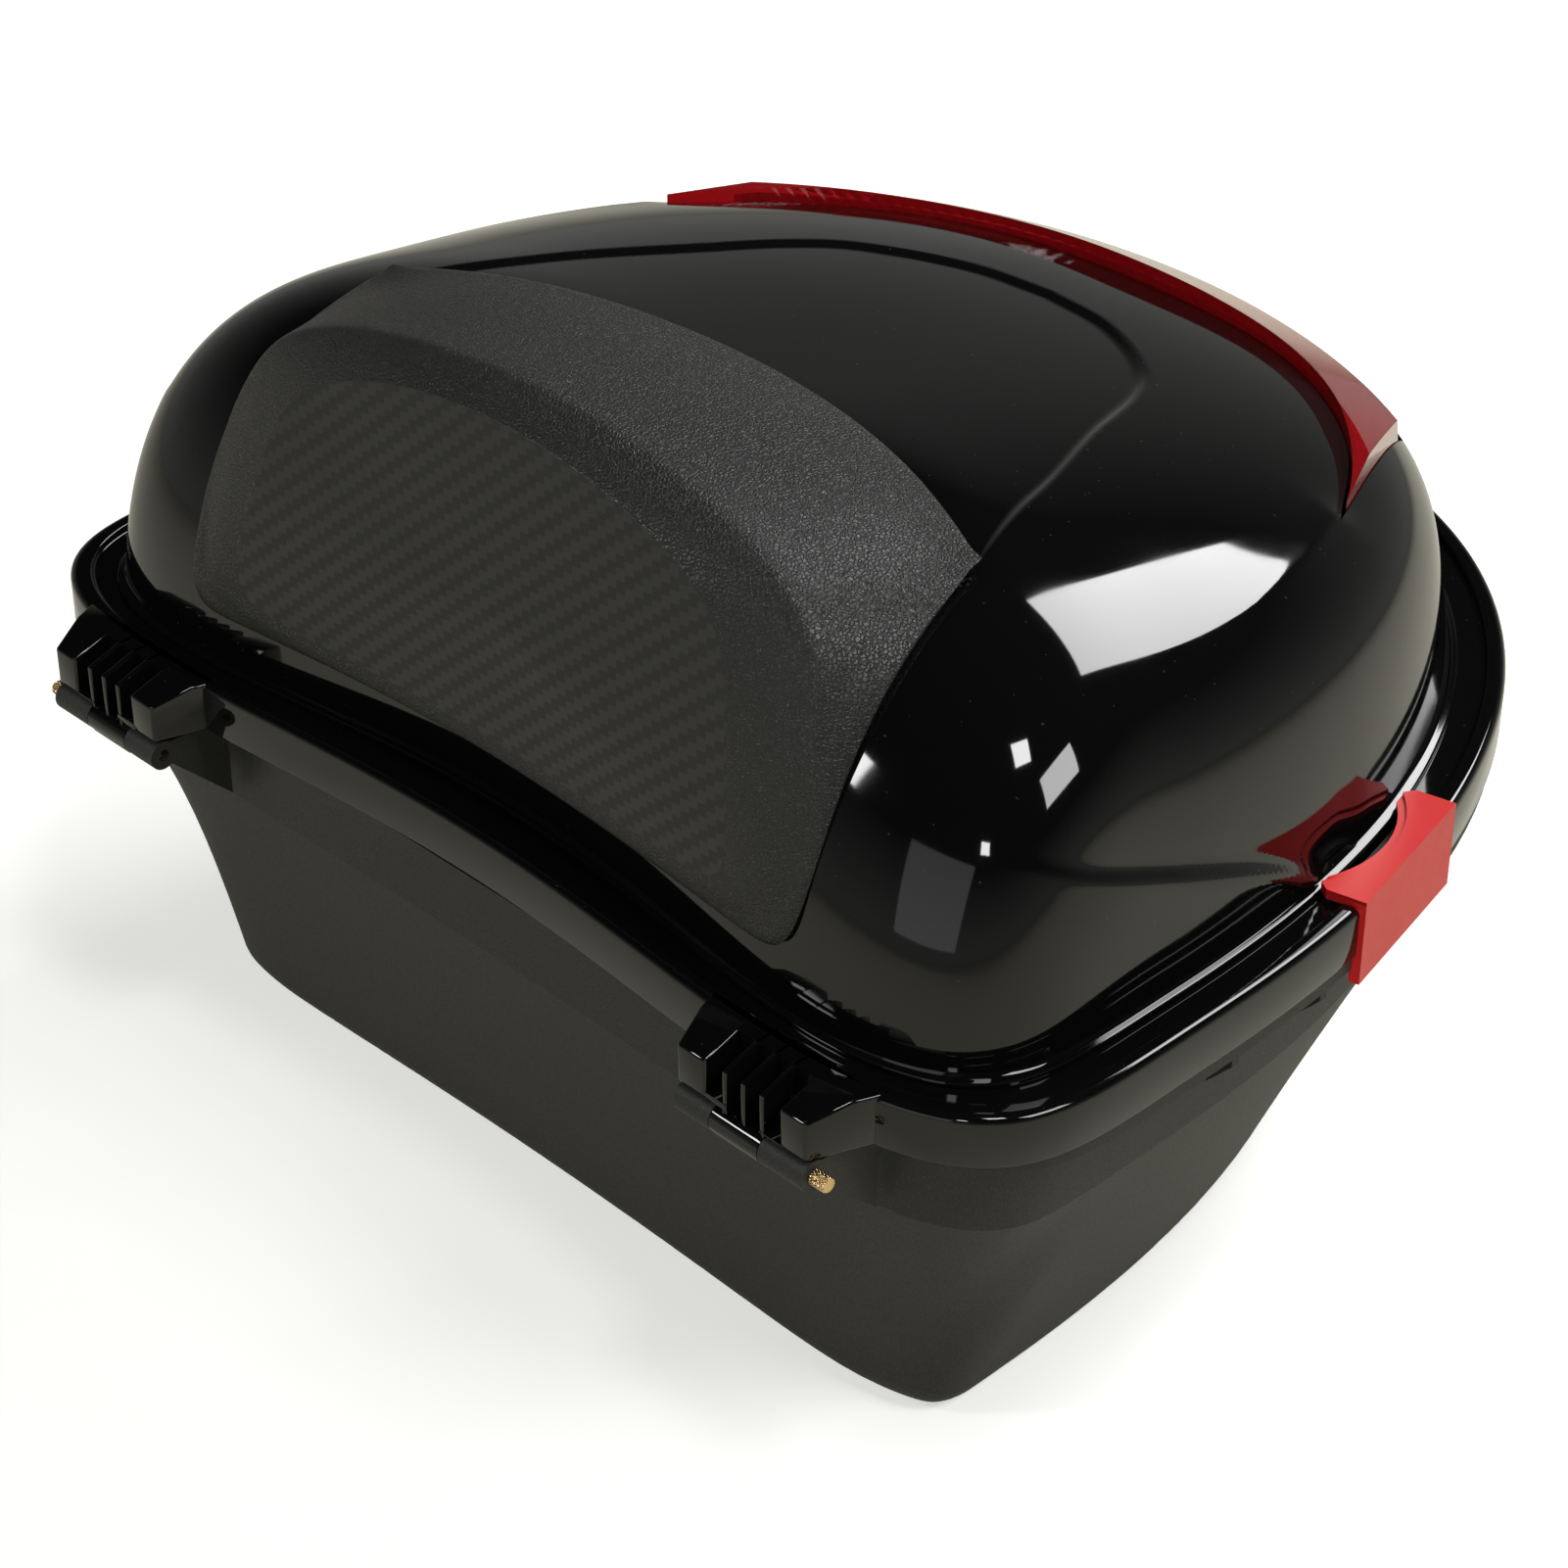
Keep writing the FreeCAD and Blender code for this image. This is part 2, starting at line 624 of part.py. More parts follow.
def backrest_pad():
    side_view = [(-157.0, 160.0), (-154.0, 200.0), (-147.0, 250.0), (-138.0, 275.0), (-124.0, 286.0),
                 (PAD_REAR, CROWN_HEIGHT + 3), (PAD_REAR, 160.0)]
    wedge = plate([(-BIG, y, z) for y, z in side_view], Vector(2 * BIG, 0, 0))
    radius, centre = arc_through(PAD_TIP[0], PAD_TIP[1], PAD_REAR)
    pad = wedge.common(backrest_arch(0.0, -200.0, 0.0))
    pad = pad.common(Part.makeCylinder(radius, BIG, Vector(0, centre, 0)))
    pad = pad.cut(dome_solid(2 * PAD_GAP + CARRIER_THICK))
    return max(pad.Solids, key=lambda solid: solid.Volume)


def backrest_screws():
    screws = []
    for point in backrest_screw_points():
        seat = Vector(point.x, backrest_screw_seat(point.z), point.z)
        tip = Vector(point.x, dome_front_y(point.z) - PAD_GAP - 1.5, point.z)
        head = rod(SCREW_HEAD, seat + Vector(0, SCREW_HEAD_HEIGHT, 0), seat)
        screws.append(head.fuse(rod(SCREW_RADIUS, seat, tip)).removeSplitter())
    return Part.makeCompound(screws)


def dome_front_y(z):
    """Front face of the dome at height z, near the middle."""
    line = Part.makeLine(Vector(70, -250, z), Vector(70, -60, z))
    return dome_solid(0.0).common(line).BoundBox.YMin


def lid_dome():
    outer = dome_solid(0.0)
    cavity = dome_solid(-WALL).cut(reflector_recess(WALL))
    dome = outer.cut(reflector_recess(0.0)).cut(cavity)
    foot = rim_ring(DOME_INSET + 1.5, DOME_INSET + DOME_FLANGE, TROUGH_Z, DOME_FLANGE_TOP)
    additions = [foot.common(outer)]
    for point in reflector_lug_points():
        lug_height = LENS_BOTTOM - RECESS_GAP - LUG_BOTTOM
        additions.append(Part.makeCylinder(LUG_RADIUS, lug_height, point + Vector(0, 0, LUG_BOTTOM)))
    for point in backrest_screw_points():
        seat = Vector(point.x, backrest_screw_seat(point.z), point.z)
        additions.append(rod(5.0, seat, seat - Vector(0, 60, 0)).common(outer))
    for addition in additions:
        dome = dome.fuse(addition)
    for point in reflector_lug_points():
        dome = dome.cut(Part.makeCylinder(SCREW_HOLE, 20, point + Vector(0, 0, LUG_BOTTOM - 5)))
    for point in lid_screw_points():
        dome = dome.cut(Part.makeCylinder(SCREW_HOLE, 10, point + Vector(0, 0, TROUGH_Z - 2)))
    for point in backrest_screw_points():
        dome = dome.cut(rod(SCREW_HOLE, point + Vector(0, -200, 0), point + Vector(0, -20, 0)))
    return max(dome.Solids, key=lambda solid: solid.Volume)


# ---- rear lock ----
def lock_rod(radius, start, end):
    """Cylinder on the lock's axis."""
    return rod(radius, Vector(0, start, LOCK_Z), Vector(0, end, LOCK_Z))


def lock_housing():
    face = LOCK_FACE_Y + LOCK_FLANGE_THICK
    barrel = lock_rod(LOCK_RADIUS, LOCK_BACK_Y, face)
    flange = lock_rod(LOCK_FLANGE, LOCK_FACE_Y, face)
    bore = lock_rod(PLUG_RADIUS + FIT, LOCK_BACK_Y - 1, face + 1)
    return barrel.fuse(flange).cut(bore).removeSplitter()


def lock_nut():
    start = LOCK_BACK_Y + 0.4
    corners = []
    for index in range(6):
        turn = math.radians(60 * index)
        corners.append((NUT_RADIUS * math.cos(turn), start, LOCK_Z + NUT_RADIUS * math.sin(turn)))
    nut = plate(corners, Vector(0, NUT_THICK, 0))
    return nut.cut(lock_rod(LOCK_RADIUS + FIT, start - 1, start + NUT_THICK + 1))


def cam_square(half, start, end):
    return box(-half, half, start, end, LOCK_Z - half, LOCK_Z + half)


def lock_plug():
    cam_end = CAM_Y + CAM_THICK
    face = LOCK_FACE_Y + LOCK_FLANGE_THICK
    plug = lock_rod(PLUG_RADIUS, cam_end, face)
    key_slot = box(-0.6, 0.6, face - 10, face + 1, LOCK_Z - 4, LOCK_Z + 4)
    return plug.cut(key_slot).fuse(cam_square(CAM_SQUARE, CAM_Y, cam_end)).removeSplitter()


def lock_cam():
    """Hooked cam, drawn unlocked: it points along +X with its nose up."""
    end = CAM_Y + CAM_THICK
    bar = box(0, CAM_REACH, CAM_Y, end, LOCK_Z - CAM_HALF_HEIGHT, LOCK_Z + CAM_HALF_HEIGHT)
    nose = box(CAM_REACH - CAM_NOSE_WIDTH, CAM_REACH, CAM_Y, end, LOCK_Z, LOCK_Z + CAM_NOSE_HEIGHT)
    cam = fuse_all([bar, nose, lock_rod(CAM_HUB, CAM_Y, end)])
    return cam.cut(cam_square(CAM_SQUARE + FIT, CAM_Y - 1, end + 1))


def cam_screw():
    return lock_rod(4.5, CAM_Y - 2.5, CAM_Y)


def strike_y():
    return CAM_Y + CAM_THICK + 4.5


def lock_strike():
    """Hook hanging from the lid; the cam's nose turns in above its lip."""
    cam_end = CAM_Y + CAM_THICK
    foot = box(-STRIKE_OUT - 3, STRIKE_OUT + 3, CAM_Y, strike_y() + 4.5, DECK_Z - STRIKE_FOOT, DECK_Z)
    leg = box(-STRIKE_OUT, -STRIKE_OUT + 4.5, CAM_Y, cam_end, STRIKE_BOTTOM, DECK_Z)
    lip = box(-STRIKE_OUT, -5.3, CAM_Y, cam_end, STRIKE_BOTTOM, STRIKE_BOTTOM + 3)
    strike = fuse_all([foot, leg, lip])
    for x in (-STRIKE_SCREW_X, STRIKE_SCREW_X):
        strike = strike.cut(Part.makeCylinder(SCREW_HOLE, 10, Vector(x, strike_y(), DECK_Z - 5)))
    return strike


def strike_screws():
    screws = []
    for x in (-STRIKE_SCREW_X, STRIKE_SCREW_X):
        screws.append(upright_screw(Vector(x, strike_y(), DECK_Z - STRIKE_FOOT), 3.6))
    return Part.makeCompound(screws)


def main():
    os.makedirs("parts", exist_ok=True)
    save("base_tub", base_tub())
    save("rim_seal", rim_seal())
    save("hinge_pin_right", hinge_pin())
    save("hinge_pin_left", mirror_x(hinge_pin()))
    save("latch_pin_right", latch_pin())
    save("latch_pin_left", mirror_x(latch_pin()))
    save("latch_right", latch())
    save("latch_left", mirror_x(latch()))
    save("lid_frame", lid_frame())
    save("lid_screws", lid_screws())
    save("lid_dome", lid_dome())
    save("reflector_lens", reflector_lens())
    save("reflector_housing", reflector_housing())
    save("reflector_screws", reflector_screws())
    save("backrest_carrier", backrest_carrier())
    save("backrest_pad", backrest_pad())
    save("backrest_screws", backrest_screws())
    save("lock_housing", lock_housing())
    save("lock_nut", lock_nut())
    save("lock_plug", lock_plug())
    save("lock_cam", lock_cam())
    save("cam_screw", cam_screw())
    save("lock_strike", lock_strike())
    save("strike_screws", strike_screws())


main()
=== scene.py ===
import json
import math

import bmesh
import bpy
import numpy as np
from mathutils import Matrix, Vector


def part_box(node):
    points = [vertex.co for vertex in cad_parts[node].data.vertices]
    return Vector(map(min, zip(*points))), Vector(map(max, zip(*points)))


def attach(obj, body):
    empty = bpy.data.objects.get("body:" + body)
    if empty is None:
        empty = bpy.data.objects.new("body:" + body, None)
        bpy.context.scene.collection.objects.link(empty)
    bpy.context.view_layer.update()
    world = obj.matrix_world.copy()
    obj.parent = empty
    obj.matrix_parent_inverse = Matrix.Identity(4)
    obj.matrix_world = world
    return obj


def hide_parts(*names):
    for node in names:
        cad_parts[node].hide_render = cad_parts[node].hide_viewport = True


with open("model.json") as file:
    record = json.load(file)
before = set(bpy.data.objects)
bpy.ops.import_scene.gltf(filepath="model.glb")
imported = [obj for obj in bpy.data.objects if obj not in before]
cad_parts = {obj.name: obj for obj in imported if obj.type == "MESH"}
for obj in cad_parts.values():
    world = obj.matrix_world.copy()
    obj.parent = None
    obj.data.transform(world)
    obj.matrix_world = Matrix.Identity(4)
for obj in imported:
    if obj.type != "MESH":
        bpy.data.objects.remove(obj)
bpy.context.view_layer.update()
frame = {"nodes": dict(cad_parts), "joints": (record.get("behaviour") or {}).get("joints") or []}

# Shapes are worked out in millimetres and turned into metres when a mesh is made.
MM = 0.001


def joint(name):
    return next(item for item in frame["joints"] if item["name"] == name)


def box_mm(node):
    low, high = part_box(node)
    return low / MM, high / MM


# ---- sizes taken from the frame ----
RIM_BOX = box_mm("lid_frame")
DOME_BOX = box_mm("lid_dome")
LENS_BOX = box_mm("reflector_lens")
PIN_BOX = box_mm("hinge_pin_right")
LATCH_BOX = box_mm("latch_right")
HINGE = Vector(joint("lid_hinge")["pos_m"]) / MM

HALF_WIDTH = RIM_BOX[1].x
RIM_REAR = RIM_BOX[1].y
RIM_TOP = RIM_BOX[1].z
RIM_BOTTOM = RIM_TOP - 17.0
RIM_FRONT = HINGE.y + 8.0
RIM_WIDEST = RIM_FRONT + 104.0
CORNER_POWER = 5.3
TAIL_POWER = 2.26
FRONT_BOW = 12.5
BOW_POWER = 3

TROUGH_Z = DOME_BOX[0].z
DOME_HALF_WIDTH = DOME_BOX[1].x
DOME_REAR = DOME_BOX[1].y
DOME_FRONT = RIM_FRONT + 13.5
DOME_BOW = 17.5
CROWN_Y = RIM_FRONT + 131.0
CROWN_HEIGHT = TROUGH_Z + 112.0
CROWN_SLOPE = 0.167
DOME_WALL = 3.0
DOME_COLUMNS = 560
DOME_ROWS = 210
# rounded lip round the dome's foot, as (distance out from the dome, height above the trough)
FOOT_LIP = ((2.4, 0.0), (2.4, 0.9), (2.2, 1.3), (1.8, 1.5), (0.7, 1.5), (0.3, 1.7))

BLOCK_FRONT = HINGE.y - 3.0
BLOCK_REAR = RIM_FRONT + 10.5
BLOCK_INNER = PIN_BOX[0].x - 3.0
BLOCK_OUTER = BLOCK_INNER + 50.5
KNUCKLE_START = BLOCK_INNER + 14.5
KNUCKLE_END = BLOCK_INNER + 33.5
SLOT_START = BLOCK_INNER + 11.2
SLOT_PITCH = 7.3
SLOT_FLOORS = (138.0, 132.5, 132.5, 136.5)
SLOT_BACK = BLOCK_FRONT + 13.0
BLOCK_DROP = 4.0
RIB_HALF = 0.95
RIB_STEP = BLOCK_FRONT + 10.0
PIN_BORE = 2.05
KNUCKLE_RADIUS = 5.0
LATCH_PIN_DEPTH = 3.8       # how far the latch's pin lies inside its outer face
LATCH_HALF = 30.5
LATCH_REACH = 16.0          # how far its top plate reaches over the rim
NOTCH_GAP = 0.6

# right end of the reflector in plan: its sharp tip in front and the corner behind it
LENS_TIP = (152, 57)
LENS_CORNER = (116, 132)
LENS_BOTTOM = LENS_BOX[0].z


# ---- mesh helpers ----
def make_object(name, points, faces):
    """New mesh object from points in millimetres."""
    mesh = bpy.data.meshes.new(name)
    mesh.from_pydata([tuple(float(c) * MM for c in point) for point in points], [], faces)
    mesh.update()
    obj = bpy.data.objects.new(name, mesh)
    bpy.context.scene.collection.objects.link(obj)
    return obj


def fix_normals(obj):
    work = bmesh.new()
    work.from_mesh(obj.data)
    bmesh.ops.remove_doubles(work, verts=work.verts, dist=0.02 * MM)
    bmesh.ops.recalc_face_normals(work, faces=work.faces)
    work.to_mesh(obj.data)
    work.free()


def smooth(obj, degrees=35):
    """Smooth shading with a sharp edge wherever the faces turn by more than the angle."""
    work = bmesh.new()
    work.from_mesh(obj.data)
    limit = math.radians(degrees)
    for face in work.faces:
        face.smooth = True
    for edge in work.edges:
        edge.smooth = len(edge.link_faces) == 2 and edge.calc_face_angle(0) < limit
    work.to_mesh(obj.data)
    work.free()


def apply_modifiers(obj):
    graph = bpy.context.evaluated_depsgraph_get()
    baked = bpy.data.meshes.new_from_object(obj.evaluated_get(graph))
    obj.modifiers.clear()
    obj.data = baked


def bevel(obj, width, segments=3, degrees=30):
    modifier = obj.modifiers.new("bevel", "BEVEL")
    modifier.width = width * MM
    modifier.segments = segments
    modifier.limit_method = "ANGLE"
    modifier.angle_limit = math.radians(degrees)
    apply_modifiers(obj)


def combine(obj, tool, operation):
    """Exact boolean of obj with tool; the tool is used up."""
    modifier = obj.modifiers.new("boolean", "BOOLEAN")
    modifier.operation = operation
    modifier.solver = "EXACT"
    modifier.object = tool
    bpy.context.view_layer.update()
    apply_modifiers(obj)
    bpy.data.objects.remove(tool)


def prism(name, outline, direction):
    """Closed prism: a flat outline of 3-D points pushed along a direction."""
    count = len(outline)
    near = [Vector(point) for point in outline]
    far = [point + Vector(direction) for point in near]
    faces = [tuple(range(count)), tuple(range(2 * count - 1, count - 1, -1))]
    faces += [(i, i + count, (i + 1) % count + count, (i + 1) % count) for i in range(count)]
    obj = make_object(name, near + far, faces)
    fix_normals(obj)
    return obj


def block(name, low, high):
    corners = [(low[0], low[1]), (high[0], low[1]), (high[0], high[1]), (low[0], high[1])]
    return prism(name, [(x, y, low[2]) for x, y in corners], (0, 0, high[2] - low[2]))


def rod(name, radius, start, end, sides=48):
    """Closed round bar between two points on a line along X."""
    turns = [2 * math.pi * i / sides for i in range(sides)]
    ring = [(start[0], start[1] + radius * math.cos(t), start[2] + radius * math.sin(t)) for t in turns]
    return prism(name, ring, Vector(end) - Vector(start))


def join(name, objects):
    """All the meshes as one object."""
    work = bmesh.new()
    for obj in objects:
        work.from_mesh(obj.data)
    mesh = bpy.data.meshes.new(name)
    work.to_mesh(mesh)
    work.free()
    for obj in objects:
        bpy.data.objects.remove(obj)
    joined = bpy.data.objects.new(name, mesh)
    bpy.context.scene.collection.objects.link(joined)
    return joined


def grid_faces(rows, columns, closed=True):
    """Quads of a grid numbered row by row; a closed grid wraps round its columns."""
    last = columns if closed else columns - 1
    faces = []
    for row in range(rows - 1):
        for column in range(last):
            right = (column + 1) % columns
            low = row * columns
            faces.append((low + column, low + right, low + columns + right, low + columns + column))
    return faces


def curve_through(points, steps):
    """Catmull-Rom curve through points, with a number of steps between each pair."""
    points = np.array(points, float)
    padded = np.vstack([2 * points[0] - points[1], points, 2 * points[-1] - points[-2]])
    out = []
    for i in range(len(points) - 1):
        a, b, c, d = padded[i:i + 4]
        for t in np.arange(steps) / steps:
            out.append(0.5 * (2 * b + (c - a) * t + (2 * a - 5 * b + 4 * c - d) * t ** 2
                              + (3 * b - a - 3 * c + d) * t ** 3))
    return np.array(out + [points[-1]])


def mirrored(right):
    """A curve that ends on the middle plane, carried on to its mirror image."""
    right = np.array(right, float)
    left = right[-2::-1].copy()
    left[:, 0] *= -1
    return np.vstack([right, left])


def distance_to_curve(points, curve):
    """Distance of each point to a polyline and how far along the line (0 to 1) the nearest place is."""
    best = np.full(len(points), 1e9)
    place = np.zeros(len(points))
    total = len(curve) - 1
    for i in range(total):
        a, b = curve[i], curve[i + 1]
        span = b - a
        t = np.clip(((points - a) @ span) / (span @ span), 0, 1)
        away = np.linalg.norm(points - (a + t[:, None] * span), axis=1)
        closer = away < best
        best[closer] = away[closer]
        place[closer] = (i + t[closer]) / total
    return best, place


def smoothstep(value):
    value = np.clip(value, 0, 1)
    return value * value * (3 - 2 * value)


# ---- outlines ----
def egg(turn, half_width, front, rear, widest, corner_power, bow):
    """The case's outline from above: square front corners and a round tail."""
    across, along = np.cos(turn), np.sin(turn)
    is_front = along < 0
    power = np.where(is_front, corner_power, TAIL_POWER)
    length = np.where(is_front, widest - front, rear - widest)
    radius = (np.abs(across) ** power + np.abs(along) ** power) ** (-1 / power)
    x = half_width * radius * across
    hollow = bow * (1 - (radius * across) ** 2) ** BOW_POWER * (radius * along) ** 4
    y = widest + length * radius * along + np.where(is_front, hollow, 0)
    return x, y


def rim_line(turn, inset):
    return egg(turn, HALF_WIDTH - inset, RIM_FRONT + inset, RIM_REAR - inset, RIM_WIDEST,
               CORNER_POWER, FRONT_BOW)


def crown_z(y):
    return CROWN_HEIGHT - CROWN_SLOPE * (y - CROWN_Y)


def dome_line(turn, level, grow=0.0):
    """The dome's outline a fraction of the way from its foot to its crown."""
    side = (1 - 0.035 * level) * (1 - level ** 4.5) ** 0.34
    tail = (1 - 0.09 * level) * (1 - level ** 8) ** 0.34
    nose = (1 - level ** 2) ** 0.58
    widest = RIM_WIDEST + 62.0 * level ** 3
    rear = widest + (DOME_REAR - RIM_WIDEST) * tail * (1 - 0.2 * level ** 3) + grow
    front = CROWN_Y + (DOME_FRONT - CROWN_Y) * nose - grow
    x, y = egg(turn, DOME_HALF_WIDTH * side + grow, front, rear, widest,
               CORNER_POWER - 1.1 * level, DOME_BOW * (1 - level))
    z = TROUGH_Z + level * (crown_z(y) + grow - TROUGH_Z)
    return x, y, z


# ---- latch frame ----
def latch_point(out, along, z):
    """A point given outward from the rim's face, along the rim, and up, at the right latch."""
    hinge = joint("latch_right_hinge")
    axis = Vector(hinge["axis"])
    outward = Vector((axis.y, -axis.x, 0))
    pivot = Vector(hinge["pos_m"]) / MM
    spot = pivot + outward * (out + LATCH_PIN_DEPTH) + axis * along
    return Vector((spot.x, spot.y, z))


def latch_box(name, out, along, z):
    corners = [(out[0], along[0]), (out[1], along[0]), (out[1], along[1]), (out[0], along[1])]
    return prism(name, [latch_point(a, b, z[0]) for a, b in corners], (0, 0, z[1] - z[0]))


def mirror_copy(obj, name):
    copy = obj.copy()
    copy.data = obj.data.copy()
    copy.name = name
    bpy.context.scene.collection.objects.link(copy)
    for vertex in copy.data.vertices:
        vertex.co.x *= -1
    copy.data.flip_normals()
    return copy


# ---- lid rim ----
def arc(centre, radius, start_deg, end_deg, steps=5):
    angles = np.radians(np.linspace(start_deg, end_deg, steps))
    return [(centre[0] + radius * math.cos(a), centre[1] + radius * math.sin(a)) for a in angles]


def rim_profile():
    """Cross-section of the rim as (inset, height), walked round its outside."""
    deck = TROUGH_Z - 2.0
    skirt = 3.0
    land = 6.0
    points = arc((0.6, RIM_BOTTOM + 0.6), 0.6, 270, 180, 3)
    points += arc((2.6, RIM_TOP - 2.6), 2.6, 180, 90, 9)
    points += arc((land - 1.0, RIM_TOP - 1.0), 1.0, 90, 0, 5)
    points += arc((land + 1.2, TROUGH_Z - 0.4 + 1.2), 1.2, 180, 270, 5)
    points += [(28.0, TROUGH_Z - 0.4), (28.0, deck), (skirt, deck), (skirt, RIM_BOTTOM)]
    return points


def lid_rim():
    columns = 640
    turn = np.linspace(0, 2 * np.pi, columns, endpoint=False)
    points = []
    profile = rim_profile()
    for inset, height in profile:
        x, y = rim_line(turn, inset)
        points += list(zip(x, y, np.full(columns, height)))
    faces = grid_faces(len(profile), columns)
    last = (len(profile) - 1) * columns
    for column in range(columns):
        right = (column + 1) % columns
        faces.append((last + column, last + right, right, column))
    rim = make_object("lid_rim", points, faces)
    fix_normals(rim)
    for side in (1, -1):
        notch = latch_box("notch", (-LATCH_REACH - NOTCH_GAP, 12.0),
                          (-LATCH_HALF - NOTCH_GAP, LATCH_HALF + 2.0), (RIM_BOTTOM - 2, RIM_TOP + 5))
        if side < 0:
            right_notch = notch
            notch = mirror_copy(right_notch, "notch_left")
            bpy.data.objects.remove(right_notch)
        combine(rim, notch, "DIFFERENCE")
    smooth(rim, 30)
    return rim


# ---- hinge blocks ----
def block_slice(name, x_start, x_end, front, rear, low):
    """Slice of a hinge block with an upright front and a gently falling top."""
    side = [(rear, low), (front, low), (front, RIM_TOP - BLOCK_DROP), (SLOT_BACK, RIM_TOP), (rear, RIM_TOP)]
    return prism(name, [(x_start, y, z) for y, z in side], (x_end - x_start, 0, 0))


def flared_end(name, x_start, x_front, x_rear):
    """End of a hinge block whose outer side slants back into the rim."""
    plan = [(x_start, BLOCK_REAR), (x_start, BLOCK_FRONT), (x_front, BLOCK_FRONT), (x_rear, BLOCK_REAR)]
    body = prism(name, [(x, y, RIM_BOTTOM) for x, y in plan], (0, 0, RIM_TOP - RIM_BOTTOM))
    side = [(BLOCK_FRONT - 1, RIM_TOP - BLOCK_DROP - 0.3), (BLOCK_FRONT - 1, RIM_TOP + 1),
            (SLOT_BACK, RIM_TOP + 1), (SLOT_BACK, RIM_TOP)]
    slope = prism("slope", [(x_start - 40, y, z) for y, z in side], (120, 0, 0))
    combine(body, slope, "DIFFERENCE")
    bevel(body, 1.0)
    return body


def hinge_rib(x):
    """Thin rib between two slots; in front of the tub's flange it reaches down to the tongue."""
    front = BLOCK_FRONT + 0.4
    side = [(BLOCK_REAR, RIM_BOTTOM), (RIB_STEP, RIM_BOTTOM), (RIB_STEP, SLOT_FLOORS[1] - 1),
            (front, SLOT_FLOORS[1] - 1), (front, RIM_TOP - BLOCK_DROP), (SLOT_BACK, RIM_TOP),
            (BLOCK_REAR, RIM_TOP)]
    rib = prism("rib", [(x - RIB_HALF, y, z) for y, z in side], (2 * RIB_HALF, 0, 0))
    bevel(rib, 0.5, 2)
    return rib


def hinge_tongue():
    """The lid's knuckle with the flat face in front of it, bored for the pin."""
    start = (KNUCKLE_START, HINGE.y, HINGE.z)
    end = (KNUCKLE_END, HINGE.y, HINGE.z)
    tongue = block("tongue", (KNUCKLE_START, BLOCK_FRONT, HINGE.z - 4.5),
                   (KNUCKLE_END, BLOCK_FRONT + 8.5, SLOT_FLOORS[1]))
    combine(tongue, rod("knuckle", KNUCKLE_RADIUS, start, end), "UNION")
    bevel(tongue, 0.5, 3, 50)
    over = Vector((1, 0, 0))
    combine(tongue, rod("bore", PIN_BORE, Vector(start) - over, Vector(end) + over), "DIFFERENCE")
    return tongue


def hinge_block():
    """Block over the right hinge: two solid ends and four open slots between thin ribs."""
    slot_end = SLOT_START + len(SLOT_FLOORS) * SLOT_PITCH
    end_width = SLOT_START - BLOCK_INNER
    parts = [flared_end("outer_end", slot_end, BLOCK_OUTER, BLOCK_OUTER + 9)]
    inner = mirror_copy(flared_end("end", 0, end_width, end_width + 7), "inner_end")
    for vertex in inner.data.vertices:
        vertex.co.x += SLOT_START * MM
    bpy.data.objects.remove(bpy.data.objects["end"])
    parts.append(inner)
    parts.append(block_slice("back_wall", SLOT_START - 1, slot_end + 1, SLOT_BACK, BLOCK_REAR, RIM_BOTTOM))
    for index, floor_z in enumerate(SLOT_FLOORS):
        x = SLOT_START + index * SLOT_PITCH
        if index > 0:
            parts.append(hinge_rib(x))
        if floor_z > RIM_BOTTOM:
            low = (x - 1, BLOCK_FRONT + 0.2, RIM_BOTTOM)
            sill = block("sill", low, (x + SLOT_PITCH + 1, BLOCK_REAR, floor_z))
            bevel(sill, 0.15, 2)
            parts.append(sill)
    parts.append(hinge_tongue())
    whole = join("lid_hinge_right", parts)
    smooth(whole, 35)
    return whole


# ---- dome ----
def dome_rows():
    """Foot lip first, then sections spaced evenly over the surface up to the crown."""
    turn = np.linspace(0, 2 * np.pi, DOME_COLUMNS, endpoint=False)
    rows = []
    for grow, rise in FOOT_LIP:
        x, y, z = dome_line(turn, 0.0, grow)
        rows.append((x, y, np.full(DOME_COLUMNS, TROUGH_Z + rise)))
    first_level = 0.019
    crowding = 2.94
    for share in np.linspace(0, 1, DOME_ROWS):
        level = first_level + (1 - first_level) * (1 - (1 - share) ** crowding)
        rows.append(dome_line(turn, min(level, 1.0 - 1e-9)))
    return rows


def panel_edge():
    """Outline in plan of the shallow inset panel behind the backrest."""
    right = [(126, -74), (112, -40), (103, -15), (88, 20), (75, 54), (60, 74), (30, 92), (0, 97)]
    return mirrored(curve_through(right, 8))


def shoulder_line():
    """Raised line running forward from the right tip of the reflector."""
    line = [(150, 57, 231), (162, 25, 234), (168, -5, 235), (171, -45, 236), (172, -75, 239)]
    return curve_through(line, 6)


def swoosh_line():
    """Fold sweeping up and forward from the right latch."""
    line = [(194, 8, 150), (193, -30, 172), (190, -80, 194), (186, -105, 205), (178, -128, 216)]
    return curve_through(line, 8)


def to_right(points):
    """The same points with the left half of the case folded onto the right half."""
    folded = points.copy()
    folded[:, 0] = np.abs(folded[:, 0])
    return folded


def panel_depth(points):
    """How deep the panel is sunk at each point."""
    depth = 1.6
    slope_width = 3.5
    line = panel_edge()
    half = line[:len(line) // 2 + 1]
    away, _ = distance_to_curve(points[:, :2], line)
    limit = np.interp(points[:, 1], half[:, 1], half[:, 0], right=0.0)
    inside = (np.abs(points[:, 0]) < limit) & (points[:, 2] > 215)
    return np.where(inside, depth * smoothstep(away / slope_width), 0)


def shoulder_height(points):
    """Height of the raised line, which fades toward the front."""
    height = 1.8
    spread = 9.0
    away, place = distance_to_curve(to_right(points), shoulder_line())
    return height * np.exp(-away / spread) * (1 - smoothstep(place))


